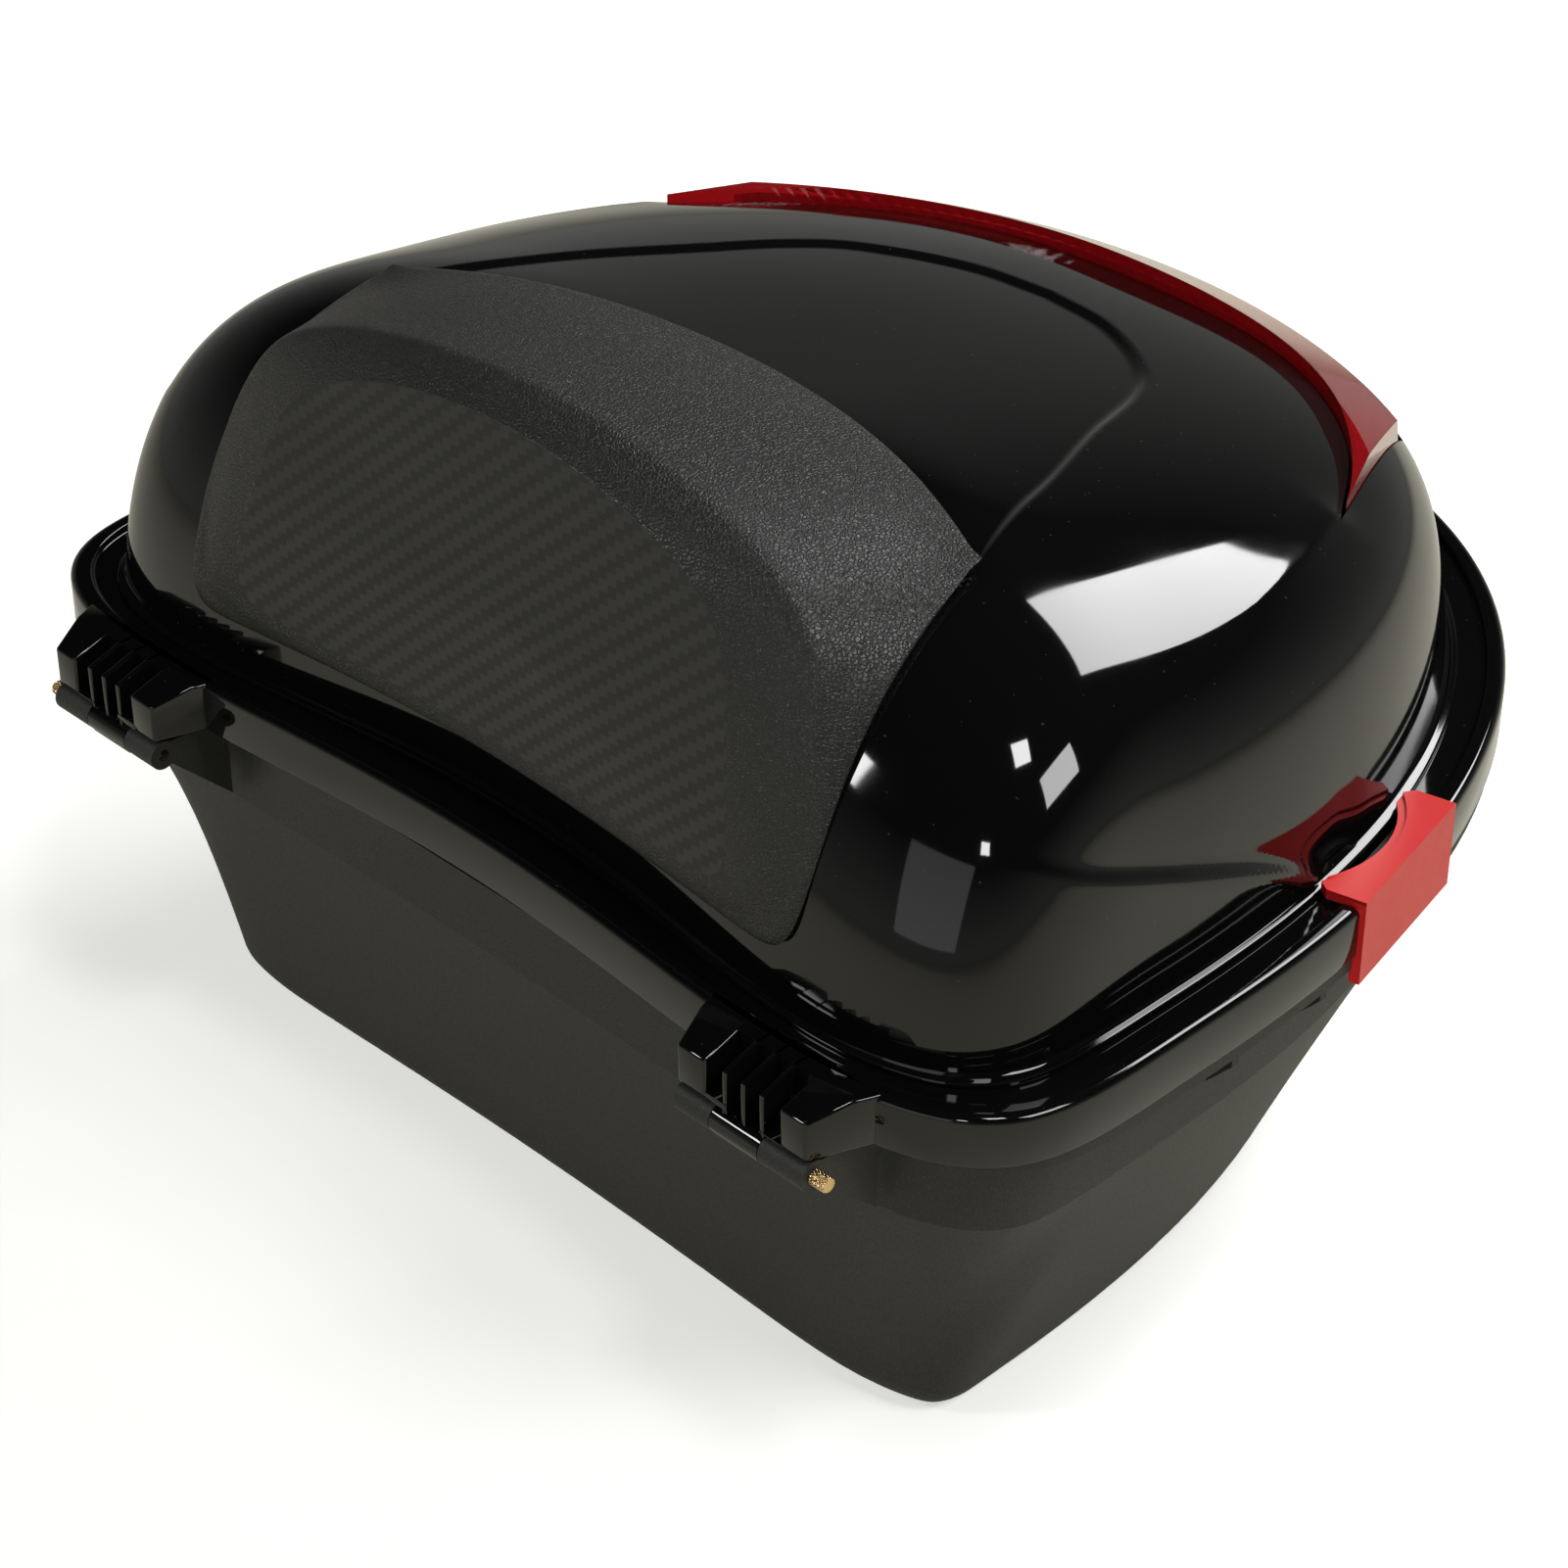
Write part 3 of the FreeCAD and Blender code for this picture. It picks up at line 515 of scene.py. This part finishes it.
def swoosh_height(points):
    """Hollow above the fold and full below it, dying away toward the front and at the latch."""
    depth = 2.2
    fold_width = 1.7
    spread = 13.0
    line = swoosh_line()
    folded = to_right(points)
    forward = -folded[:, 1]
    line_z = np.interp(forward, -line[:, 1], line[:, 2])
    place = np.interp(forward, -line[:, 1], np.linspace(0, 1, len(line)))
    above = 0.85 * (folded[:, 2] - line_z)
    fade = (1 - smoothstep((place - 0.5) / 0.5)) * smoothstep((forward + 28) / 20)
    fade = fade * smoothstep((folded[:, 0] - 100) / 30)
    return -depth * np.tanh(above / fold_width) * np.exp(-np.abs(above) / spread) * fade


def lens_inner_edge():
    """The reflector's inner curve in plan, from the right tip to the left."""
    right = [(152, 57), (118, 102), (65, 135), (0, 142)]
    return mirrored(curve_through(right, 10))


def lens_outline(grow):
    """Footprint of the reflector: its inner curve and the two straight ends, widened by grow."""
    far = [LENS_TIP[i] + 2.2 * (LENS_CORNER[i] - LENS_TIP[i]) for i in (0, 1)]
    front = [(x * (1 + grow / 150), y - grow) for x, y in lens_inner_edge()]
    return front + [(-far[0] - grow, far[1]), (far[0] + grow, far[1])]


def lens_opening(grow=0.0):
    """Everything behind the reflector's inner edge, above its lower edge."""
    low = LENS_BOTTOM - grow
    return prism("lens_opening", [(x, y, low) for x, y in lens_outline(grow)], (0, 0, 90))


def dome_core(name, low_level, depth):
    """Closed plain solid lying a given depth inside the dome's skin, from a level up to the crown."""
    columns = 160
    turn = np.linspace(0, 2 * np.pi, columns, endpoint=False)
    levels = 1 - np.linspace(math.sqrt(1 - low_level), 0.02, 30) ** 2
    rows = [np.column_stack(dome_line(turn, level, -depth)) for level in levels]
    faces = grid_faces(len(rows), columns)
    last = (len(rows) - 1) * columns
    faces.append(tuple(range(columns - 1, -1, -1)))
    faces.append(tuple(range(last, last + columns)))
    core = make_object(name, list(np.vstack(rows)), faces)
    fix_normals(core)
    return core


def recess_walls():
    """Floor and walls of the closed recess that the reflector sits in."""
    walls = dome_core("recess_walls", 0.36, 0.8)
    combine(walls, lens_opening(2.5), "INTERSECT")
    combine(walls, lens_opening(), "DIFFERENCE")
    return walls


def lid_dome():
    rows = dome_rows()
    grid = np.array([np.column_stack(row) for row in rows])
    # the two sides of the last row meet along the middle, where fix_normals welds them
    grid[-1, :, 0] = 0.0
    dome = make_object("lid_dome_shell", grid.reshape(-1, 3), grid_faces(len(rows), DOME_COLUMNS))
    fix_normals(dome)
    count = len(dome.data.vertices)
    places = np.zeros(count * 3)
    dome.data.vertices.foreach_get("co", places)
    places = places.reshape(-1, 3) / MM
    normals = np.array([vertex.normal for vertex in dome.data.vertices])
    lift = shoulder_height(places) + swoosh_height(places) - panel_depth(places)
    lift[places[:, 2] < TROUGH_Z + 2.5] = 0
    places += normals * lift[:, None]
    dome.data.vertices.foreach_set("co", (places * MM).ravel())
    shell = dome.modifiers.new("shell", "SOLIDIFY")
    shell.thickness = DOME_WALL * MM
    shell.offset = -1
    apply_modifiers(dome)
    combine(dome, lens_opening(), "DIFFERENCE")
    dome = join("lid_dome_shell", [dome, recess_walls()])
    smooth(dome, 30)
    return dome


# ---- backrest pad ----
def pad_rings():
    """Rings of the pad's skin, from its hidden root in the dome to the middle of the front panel.

    Each ring lists the right half from the bottom centre round to the top centre.
    """
    root = [(0, -139, 176), (60, -142, 176), (108, -147, 176), (126, -148.5, 177), (132, -146, 190),
            (131, -129, 222), (127, -102, 242), (118, -71, 252), (84, -56, 257), (45, -49, 258),
            (0, -46, 258)]
    edge = [(0, -145, 172.5), (60, -148.4, 172), (112, -154.8, 171), (133, -156.8, 169.5), (137, -151.5, 189),
            (136.5, -136, 225), (133, -108.5, 251), (127, -73, 261.5), (88, -57.5, 267.5), (45, -46.3, 268),
            (0, -42.5, 268)]
    side = [(0, -148.5, 173), (60, -151.3, 172.5), (112, -156.8, 171.5), (131, -157.4, 172),
            (135.5, -152.5, 190), (134.5, -139, 227), (129.5, -121, 248), (120.5, -101, 262.5),
            (88, -86, 273), (46, -81, 276.5), (0, -79, 278)]
    ridge = [(0, -151, 176), (60, -153.3, 175), (108, -157, 175), (126, -156.5, 178), (131, -151.5, 191),
             (130, -142.5, 225), (125.5, -134.5, 245), (114.5, -129, 263), (89, -125, 274), (50, -123, 282.5),
             (0, -122, 286)]
    roll = [(0, -151.7, 179), (58, -153.8, 178), (103, -157.2, 178), (118, -157, 182), (121, -155, 194),
            (119, -149.5, 216), (116, -142, 239), (105, -136, 259.5), (79, -133, 272), (44, -131, 280),
            (0, -130, 283.5)]
    panel = [(0, -151.5, 182), (55, -153.3, 181), (98, -156.2, 181), (108, -156.3, 185), (109, -155, 196),
             (105, -151, 216), (101, -146, 237), (92, -141, 256), (68, -138.5, 268.5), (37, -137, 276),
             (0, -136, 279)]
    centre = (0, -148, 222)
    inner = [tuple(np.array(centre) + (np.array(p) - centre) * 0.93) for p in panel]
    middle = [tuple(np.array(centre) + (np.array(p) - centre) * 0.5) for p in panel]
    return [root, edge, side, ridge, roll, panel, inner, middle], centre


def full_ring(right):
    """Right half plus its mirror image, as one closed loop without repeated points."""
    left = [(-x, y, z) for x, y, z in right[-2:0:-1]]
    return list(right) + left


def backrest_pad():
    rings, centre = pad_rings()
    loops = [full_ring(ring) for ring in rings]
    columns = len(loops[0])
    points = [point for loop in loops for point in loop] + [centre]
    faces = grid_faces(len(loops), columns)
    last = (len(loops) - 1) * columns
    faces += [(last + i, last + (i + 1) % columns, len(points) - 1) for i in range(columns)]
    faces.append(tuple(range(columns - 1, -1, -1)))
    pad = make_object("backrest_cushion", points, faces)
    panel_faces = [index for index, face in enumerate(faces) if min(face) >= 5 * columns]
    for index in panel_faces:
        pad.data.polygons[index].material_index = 1
    crease_ring(pad, 1, columns, 0.95)
    crease_ring(pad, 3, columns, 0.5)
    crease_ring(pad, 5, columns, 0.8)
    sharpen_tips(pad, columns)
    subdivide = pad.modifiers.new("subdivide", "SUBSURF")
    subdivide.levels = 4
    apply_modifiers(pad)
    recalc_outward(pad)
    combine(pad, dome_core("dome_core", 0.02, 1.2), "DIFFERENCE")
    smooth(pad, 50)
    return pad


def recalc_outward(obj):
    work = bmesh.new()
    work.from_mesh(obj.data)
    bmesh.ops.recalc_face_normals(work, faces=work.faces)
    work.to_mesh(obj.data)
    work.free()


def sharpen_tips(obj, columns):
    """The two rear corners of the pad stay pointed."""
    crease = obj.data.attributes.new("crease_vert", "FLOAT", "POINT")
    for station in (7, columns - 7):
        crease.data[columns + station].value = 1.0


def crease_ring(obj, ring, columns, strength):
    """Keeps one ring of a control mesh from being rounded away."""
    crease = obj.data.attributes.get("crease_edge") or obj.data.attributes.new("crease_edge", "FLOAT", "EDGE")
    first = ring * columns
    for edge in obj.data.edges:
        a, b = edge.vertices
        if first <= a < first + columns and first <= b < first + columns:
            crease.data[edge.index].value = strength


# ---- latches ----
def arc_plan(radius, centre_out, half_angle_deg, steps=20):
    """Points of a round scoop in the latch's plan, from its rear end to its front end."""
    angles = np.radians(np.linspace(half_angle_deg, -half_angle_deg, steps))
    return [(centre_out + radius * math.cos(a), radius * math.sin(a)) for a in angles]


def top_plate(name, scoop_depth, low, high):
    """Plate over the rim, hollowed on its inner edge; a deeper scoop makes the upper step."""
    half = LATCH_HALF
    reach = -LATCH_REACH
    radius = 34.0 + scoop_depth
    centre = reach + scoop_depth - radius
    half_angle = math.degrees(math.acos((reach - centre) / radius))
    scoop = arc_plan(radius, centre, half_angle)
    plan = [(0, -half), (0, half), (reach + 3, half), (reach, half - 3)] + scoop
    plan += [(reach, 3 - half), (reach + 3, -half)]
    return prism(name, [latch_point(a, b, low) for a, b in plan], (0, 0, high - low))


def latch(name):
    top = LATCH_BOX[1].z
    body = latch_box(name, (-3.4, 0), (-LATCH_HALF, LATCH_HALF), (LATCH_BOX[0].z, top))
    combine(body, top_plate("plate", 7.0, top - 3.2, top - 1.0), "UNION")
    combine(body, top_plate("step", 9.5, top - 1.5, top), "UNION")
    bevel(body, 1.3, 4, 35)
    smooth(body, 40)
    return body


# ---- hinge pin heads ----
def knurled_pin(name):
    """Pin with a diamond-knurled head, its surface a real relief."""
    length = 5.5
    start = PIN_BOX[1].x - length
    columns = 96
    rows = 44
    turn = np.linspace(0, 2 * np.pi, columns, endpoint=False)
    points = [(start, HINGE.y, HINGE.z)]
    for row in range(rows):
        along = row / (rows - 1)
        x = start + length * along
        diamonds = np.abs(np.sin(8 * turn + 12 * along)) * np.abs(np.sin(8 * turn - 12 * along))
        end_round = 0.5 * max(0.0, along - 0.9) * 10
        radius = 2.15 + 0.42 * diamonds ** 0.6 - end_round * 0.4
        ys = HINGE.y + radius * np.cos(turn)
        zs = HINGE.z + radius * np.sin(turn)
        points += list(zip(np.full(columns, x), ys, zs))
    points.append((start + length, HINGE.y, HINGE.z))
    faces = [tuple(i + 1 for i in face) for face in grid_faces(rows, columns)]
    end = len(points) - 1
    faces += [(0, 1 + (i + 1) % columns, 1 + i) for i in range(columns)]
    low = 1 + (rows - 1) * columns
    faces += [(end, low + i, low + (i + 1) % columns) for i in range(columns)]
    head = make_object(name + "_head", points, faces)
    fix_normals(head)
    shank = rod("shank", 2.0, (PIN_BOX[0].x, HINGE.y, HINGE.z), (start + 0.2, HINGE.y, HINGE.z))
    pin = join(name, [head, shank])
    smooth(pin, 45)
    return pin


# ---- materials ----
class Nodes:
    """Short way to add and link the nodes of one material."""

    def __init__(self, name):
        self.material = bpy.data.materials.new(name)
        self.material.use_nodes = True
        self.tree = self.material.node_tree
        self.surface = self.tree.nodes["Principled BSDF"]
        self.coordinate = self.tree.nodes.new("ShaderNodeTexCoord").outputs["Object"]

    def put(self, kind, inputs=None, **settings):
        node = self.tree.nodes.new(kind)
        for key, value in settings.items():
            setattr(node, key, value)
        for key, value in (inputs or {}).items():
            self.feed(node.inputs[key], value)
        return node

    def feed(self, socket, value):
        if isinstance(value, bpy.types.NodeSocket):
            self.tree.links.new(value, socket)
        else:
            socket.default_value = value

    def set(self, **inputs):
        for key, value in inputs.items():
            self.feed(self.surface.inputs[key.replace("_", " ")], value)

    def noise(self, size_mm, detail=3.0):
        scale = 1 / (size_mm * MM)
        inputs = {"Vector": self.coordinate, "Scale": scale, "Detail": detail}
        return self.put("ShaderNodeTexNoise", inputs).outputs["Fac"]

    def math(self, operation, first, second=0.0):
        return self.put("ShaderNodeMath", {0: first, 1: second}, operation=operation).outputs[0]

    def between(self, value, low, high, from_low=0.0, from_high=1.0):
        node = self.put("ShaderNodeMapRange", {"Value": value, "From Min": from_low, "From Max": from_high,
                                               "To Min": low, "To Max": high})
        return node.outputs["Result"]

    def mix_colour(self, share, first, second):
        node = self.put("ShaderNodeMix", {0: share, 6: (*first, 1), 7: (*second, 1)}, data_type="RGBA")
        return node.outputs[2]

    def bump(self, height, depth_mm, strength=1.0, normal=None):
        inputs = {"Height": height, "Distance": depth_mm * MM, "Strength": strength}
        if normal is not None:
            inputs["Normal"] = normal
        return self.put("ShaderNodeBump", inputs).outputs["Normal"]


def gloss_black():
    """Piano-black plastic: faint waviness, fine wipe marks in the roughness and dust specks."""
    m = Nodes("gloss_black")
    wave = m.bump(m.noise(60, 1), 0.05, 0.25)
    dust = m.math("GREATER_THAN", m.noise(1.3, 0), 0.865)
    roughness = m.between(m.noise(25, 4), 0.03, 0.07, 0.3, 0.7)
    m.set(Base_Color=m.mix_colour(dust, (0.003, 0.003, 0.003), (0.035, 0.035, 0.033)),
          Roughness=roughness, Normal=wave, IOR=1.5)
    return m.material


def tub_plastic():
    """Matte moulded plastic with a fine spark texture."""
    m = Nodes("tub_plastic")
    grain = m.noise(0.55, 2)
    fine = m.bump(grain, 0.05, 0.55)
    soft = m.bump(m.noise(30, 2), 0.2, 0.2, fine)
    sparkle = m.between(m.noise(0.5, 1), 0, 1, 0.5, 0.75)
    colour = m.mix_colour(sparkle, (0.013, 0.013, 0.0115), (0.036, 0.036, 0.032))
    m.set(Base_Color=colour, Roughness=m.between(grain, 0.50, 0.64, 0.3, 0.7), Normal=soft)
    return m.material


def pad_leather():
    """Fine leather grain: small uneven cells with creases between them, the creases painted darker as painted
    shade.
    """
    m = Nodes("pad_leather")
    shift = m.put("ShaderNodeVectorMath", {0: m.coordinate, 1: (0, 0, 0)}, operation="ADD")
    warp = m.put("ShaderNodeTexNoise", {"Vector": m.coordinate, "Scale": 350.0, "Detail": 3.0})
    pull = m.put("ShaderNodeVectorMath", {0: warp.outputs["Color"], 1: (0.0016, 0.0016, 0.0016)},
                 operation="MULTIPLY")
    m.feed(shift.inputs[1], pull.outputs[0])
    cells = m.put("ShaderNodeTexVoronoi", {"Vector": shift.outputs[0], "Scale": 820.0},
                  feature="DISTANCE_TO_EDGE")
    height = m.between(cells.outputs["Distance"], 0, 1, 0.0, 0.22)
    grain = m.bump(height, 0.15, 1.0)
    uneven = m.bump(m.noise(9, 2), 0.15, 0.2, grain)
    # painted shade: the colour goes darker toward the creases between the cells, following the relief height
    colour = m.mix_colour(height, (0.007, 0.007, 0.0065), (0.017, 0.017, 0.0155))
    m.set(Base_Color=colour, Roughness=m.between(height, 0.52, 0.38), Normal=uneven)
    return m.material


def carbon_panel():
    """Embossed twill: upright columns of dark and light floats, each column set higher than the last."""
    m = Nodes("carbon_panel")
    split = m.put("ShaderNodeSeparateXYZ", {"Vector": m.coordinate})
    column = 3.7 * MM
    period = 7.3 * MM
    climb = 2.2 * MM
    lean = m.math("MULTIPLY", split.outputs["Z"], 0.22)
    across = m.math("ADD", split.outputs["X"], lean)
    index = m.math("FLOOR", m.math("DIVIDE", across, column))
    rise = m.math("ADD", m.math("MULTIPLY", index, climb), m.math("MULTIPLY", across, 0.15))
    height = m.math("SUBTRACT", split.outputs["Z"], rise)
    phase = m.math("FLOORED_MODULO", m.math("DIVIDE", height, period), 1.0)
    over = m.math("LESS_THAN", phase, 0.5)
    stretch = m.put("ShaderNodeMapping", {"Vector": m.coordinate, "Scale": (1.0, 1.0, 0.06)})
    fibres = m.put("ShaderNodeTexNoise", {"Vector": stretch.outputs[0], "Scale": 2200.0, "Detail": 2.0})
    threads = fibres.outputs["Fac"]
    grain = m.bump(threads, 0.02, 0.5)
    relief = m.bump(over, 0.05, 0.3, grain)
    light = m.mix_colour(threads, (0.016, 0.016, 0.0145), (0.026, 0.026, 0.024))
    dark = m.mix_colour(threads, (0.008, 0.008, 0.0075), (0.012, 0.012, 0.011))
    tone = m.put("ShaderNodeMix", {0: over, 6: light, 7: dark}, data_type="RGBA").outputs[2]
    m.set(Base_Color=tone, Roughness=m.between(over, 0.46, 0.56), Normal=relief)
    return m.material


def latch_red():
    """Satin red plastic with a slight moulding texture."""
    m = Nodes("latch_red")
    texture = m.bump(m.noise(0.8, 2), 0.015, 0.4)
    colour = m.mix_colour(m.noise(20, 2), (0.66, 0.012, 0.012), (0.74, 0.018, 0.016))
    m.set(Base_Color=colour, Roughness=m.between(m.noise(6, 3), 0.32, 0.42), Normal=texture)
    return m.material


def lens_red():
    """Clear dark-red plastic with slanting ribs on its inner face."""
    m = Nodes("lens_red")
    slant = {"Vector": m.coordinate, "Scale": 90.0, "Distortion": 0.4, "Detail": 1.0}
    ribs = m.put("ShaderNodeTexWave", slant, wave_type="BANDS", bands_direction="DIAGONAL")
    relief = m.bump(ribs.outputs["Fac"], 0.3, 0.25)
    m.set(Base_Color=(0.62, 0.012, 0.018, 1), Roughness=m.between(m.noise(12, 2), 0.03, 0.06), IOR=1.49,
          Transmission_Weight=0.6, Coat_Weight=1.0, Coat_Roughness=0.03, Normal=relief)
    return m.material


def reflector_backing():
    """Prismatic reflector behind the lens: ribs that catch the light."""
    m = Nodes("reflector_backing")
    cells = m.put("ShaderNodeTexWave", {"Vector": m.coordinate, "Scale": 110.0, "Distortion": 0.0},
                  wave_type="BANDS", bands_direction="DIAGONAL", wave_profile="TRI")
    relief = m.bump(cells.outputs["Fac"], 1.2, 0.8)
    m.set(Base_Color=m.mix_colour(m.noise(4, 2), (0.10, 0.004, 0.004), (0.3, 0.01, 0.01)), Metallic=0.6,
          Roughness=0.25, Normal=relief)
    return m.material


def plain_metal(name, colour, roughness, grain_mm):
    """Bare metal with fine unevenness in its polish."""
    m = Nodes(name)
    uneven = m.noise(grain_mm, 3)
    darker = tuple(c * 0.8 for c in colour)
    m.set(Base_Color=m.mix_colour(uneven, darker, colour), Metallic=1.0,
          Roughness=m.between(uneven, roughness * 0.7, roughness * 1.4, 0.3, 0.7),
          Normal=m.bump(uneven, 0.02, 0.3))
    return m.material


def seal_rubber():
    """Matt black rubber with a slightly dusty surface."""
    m = Nodes("seal_rubber")
    dusty = m.noise(2.0, 4)
    m.set(Base_Color=m.mix_colour(dusty, (0.010, 0.010, 0.010), (0.028, 0.028, 0.027)),
          Roughness=m.between(dusty, 0.62, 0.8), Normal=m.bump(m.noise(0.4, 2), 0.04, 0.5))
    return m.material


def carrier_plastic():
    """Plain moulded inner plastic."""
    m = Nodes("carrier_plastic")
    grain = m.noise(0.8, 3)
    m.set(Base_Color=m.mix_colour(grain, (0.030, 0.030, 0.030), (0.050, 0.050, 0.049)),
          Roughness=m.between(grain, 0.42, 0.58, 0.3, 0.7), Normal=m.bump(grain, 0.03, 0.5))
    return m.material


# ---- putting pieces and materials together ----
def dress(obj, slot_name, *materials):
    obj.data.materials.clear()
    for material in materials:
        obj.data.materials.append(material)


def add_piece(obj, body, slot_name, materials, nodes):
    keep = [polygon.material_index for polygon in obj.data.polygons]
    dress(obj, slot_name, *materials)
    obj.data.polygons.foreach_set("material_index", keep)
    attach(obj, body)
    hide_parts(*nodes)


def build_lid(black):
    add_piece(lid_rim(), "lid", "gloss_black", [black], ["lid_frame"])
    right = hinge_block()
    left = mirror_copy(right, "lid_hinge_left")
    add_piece(right, "lid", "gloss_black", [black], [])
    add_piece(left, "lid", "gloss_black", [black], [])
    add_piece(lid_dome(), "lid", "gloss_black", [black], ["lid_dome"])


def build_pad():
    add_piece(backrest_pad(), "lid", "pad_leather", [pad_leather(), carbon_panel()], ["backrest_pad"])


def build_latches(red):
    right = latch("latch_cover_right")
    left = mirror_copy(right, "latch_cover_left")
    add_piece(right, "right_latch", "latch_red", [red], ["latch_right"])
    add_piece(left, "left_latch", "latch_red", [red], ["latch_left"])


def build_pins(brass):
    right = knurled_pin("knurled_pin_right")
    left = mirror_copy(right, "knurled_pin_left")
    add_piece(right, "base", "pin_brass", [brass], ["hinge_pin_right"])
    add_piece(left, "base", "pin_brass", [brass], ["hinge_pin_left"])


def dress_frame_nodes(tub, rubber, carrier, steel, chrome):
    """CAD nodes that are shown as they are."""
    groups = {
        "tub_plastic": (tub, ["base_tub"]),
        "seal_rubber": (rubber, ["rim_seal"]),
        "carrier_plastic": (carrier, ["backrest_carrier"]),
        "screw_steel": (steel, ["latch_pin_right", "latch_pin_left", "lid_screws", "reflector_screws",
                                "backrest_screws", "lock_cam", "cam_screw", "lock_strike", "strike_screws"]),
        "lock_chrome": (chrome, ["lock_housing", "lock_nut", "lock_plug"]),
    }
    for slot_name, (material, names) in groups.items():
        for name in names:
            dress(frame["nodes"][name], slot_name, material)
    dress(frame["nodes"]["reflector_lens"], "lens_red", lens_red())
    dress(frame["nodes"]["reflector_housing"], "carrier_plastic", reflector_backing())


# ---- studio ----
def make_floor():
    size = 3000
    corners = [(-size, -size, 0), (size, -size, 0), (size, size, 0), (-size, size, 0)]
    floor = make_object("floor", [(x, y, -0.5) for x, y, _ in corners], [(0, 1, 2, 3)])
    m = Nodes("floor_paint")
    seen = m.put("ShaderNodeLightPath").outputs["Is Camera Ray"]
    pale = m.mix_colour(m.noise(40, 2), (0.80, 0.80, 0.78), (0.82, 0.82, 0.80))
    shaded = (0.50, 0.485, 0.40, 1)
    paint = m.put("ShaderNodeMix", {0: seen, 6: shaded, 7: pale}, data_type="RGBA").outputs[2]
    glow = m.between(seen, 0.38, 0.68)
    m.set(Base_Color=paint, Roughness=0.9, Emission_Color=paint, Emission_Strength=glow)
    floor.data.materials.append(m.material)


def make_world():
    """White backdrop for the camera; dark room with a pale low band for reflections."""
    world = bpy.data.worlds.new("room")
    world.use_nodes = True
    nodes, links = world.node_tree.nodes, world.node_tree.links
    background = nodes["Background"]
    path = nodes.new("ShaderNodeLightPath")
    coordinate = nodes.new("ShaderNodeTexCoord")
    split = nodes.new("ShaderNodeSeparateXYZ")
    links.new(coordinate.outputs["Generated"], split.inputs[0])
    fall = nodes.new("ShaderNodeMapRange")
    for key, value in (("From Min", 0.0), ("From Max", 0.45), ("To Min", 0.26), ("To Max", 0.010)):
        fall.inputs[key].default_value = value
    links.new(split.outputs["Z"], fall.inputs["Value"])
    mix = nodes.new("ShaderNodeMix")
    mix.inputs[3].default_value = 1.0
    links.new(path.outputs["Is Camera Ray"], mix.inputs[0])
    links.new(fall.outputs["Result"], mix.inputs[2])
    links.new(mix.outputs[0], background.inputs["Strength"])
    background.inputs["Color"].default_value = (1, 0.99, 0.96, 1)
    bpy.context.scene.world = world


def softbox(name, azimuth, elevation, distance, width, height, power, aim=(0, 0, 0.17)):
    """Area light at a bearing round the object; azimuth 0 is in front (-Y) and 90 is +X."""
    light = bpy.data.lights.new(name, "AREA")
    light.shape = "RECTANGLE"
    light.size, light.size_y, light.energy = width, height, power
    obj = bpy.data.objects.new(name, light)
    bpy.context.scene.collection.objects.link(obj)
    a, e = math.radians(azimuth), math.radians(elevation)
    direction = Vector((math.sin(a) * math.cos(e), -math.cos(a) * math.cos(e), math.sin(e)))
    obj.location = Vector(aim) + direction * distance
    obj.rotation_mode = "QUATERNION"
    obj.rotation_quaternion = direction.to_track_quat("Z", "Y")
    return obj


def make_lights():
    softbox("rear_top", 177, 43, 2.0, 0.85, 0.85, 26)
    softbox("side_key", 95, 45, 1.8, 0.7, 0.5, 12)
    softbox("front_left", -28, 32, 1.8, 0.3, 0.3, 6)
    softbox("high_right", 63, 66, 1.8, 0.28, 0.28, 5)
    softbox("front_right", 33, 33, 1.8, 0.16, 0.16, 1.6)
    softbox("tall_panel", 12, 14, 1.9, 1.0, 0.9, 2)


def make_camera():
    azimuth, elevation, distance = math.radians(45.4), math.radians(34), 1.169
    aim = Vector((0.064, -0.088, 0.163))
    back = Vector((math.sin(azimuth) * math.cos(elevation), -math.cos(azimuth) * math.cos(elevation),
                   math.sin(elevation)))
    data = bpy.data.cameras.new("camera")
    data.lens = 90.1
    data.sensor_width = 36.0
    camera = bpy.data.objects.new("camera", data)
    bpy.context.scene.collection.objects.link(camera)
    camera.location = aim + back * distance
    camera.rotation_mode = "QUATERNION"
    camera.rotation_quaternion = back.to_track_quat("Z", "Y")
    bpy.context.scene.camera = camera


def set_colours():
    view = bpy.context.scene.view_settings
    view.view_transform = "Standard"
    view.look = "None"


def build():
    build_lid(gloss_black())
    build_pad()
    build_latches(latch_red())
    build_pins(plain_metal("pin_brass", (0.85, 0.60, 0.30), 0.22, 1.2))
    dress_frame_nodes(tub_plastic(), seal_rubber(), carrier_plastic(),
                      plain_metal("screw_steel", (0.62, 0.62, 0.64), 0.3, 0.8),
                      plain_metal("lock_chrome", (0.8, 0.8, 0.82), 0.12, 2.0))
    make_floor()
    make_world()
    make_lights()
    make_camera()
    set_colours()


build()
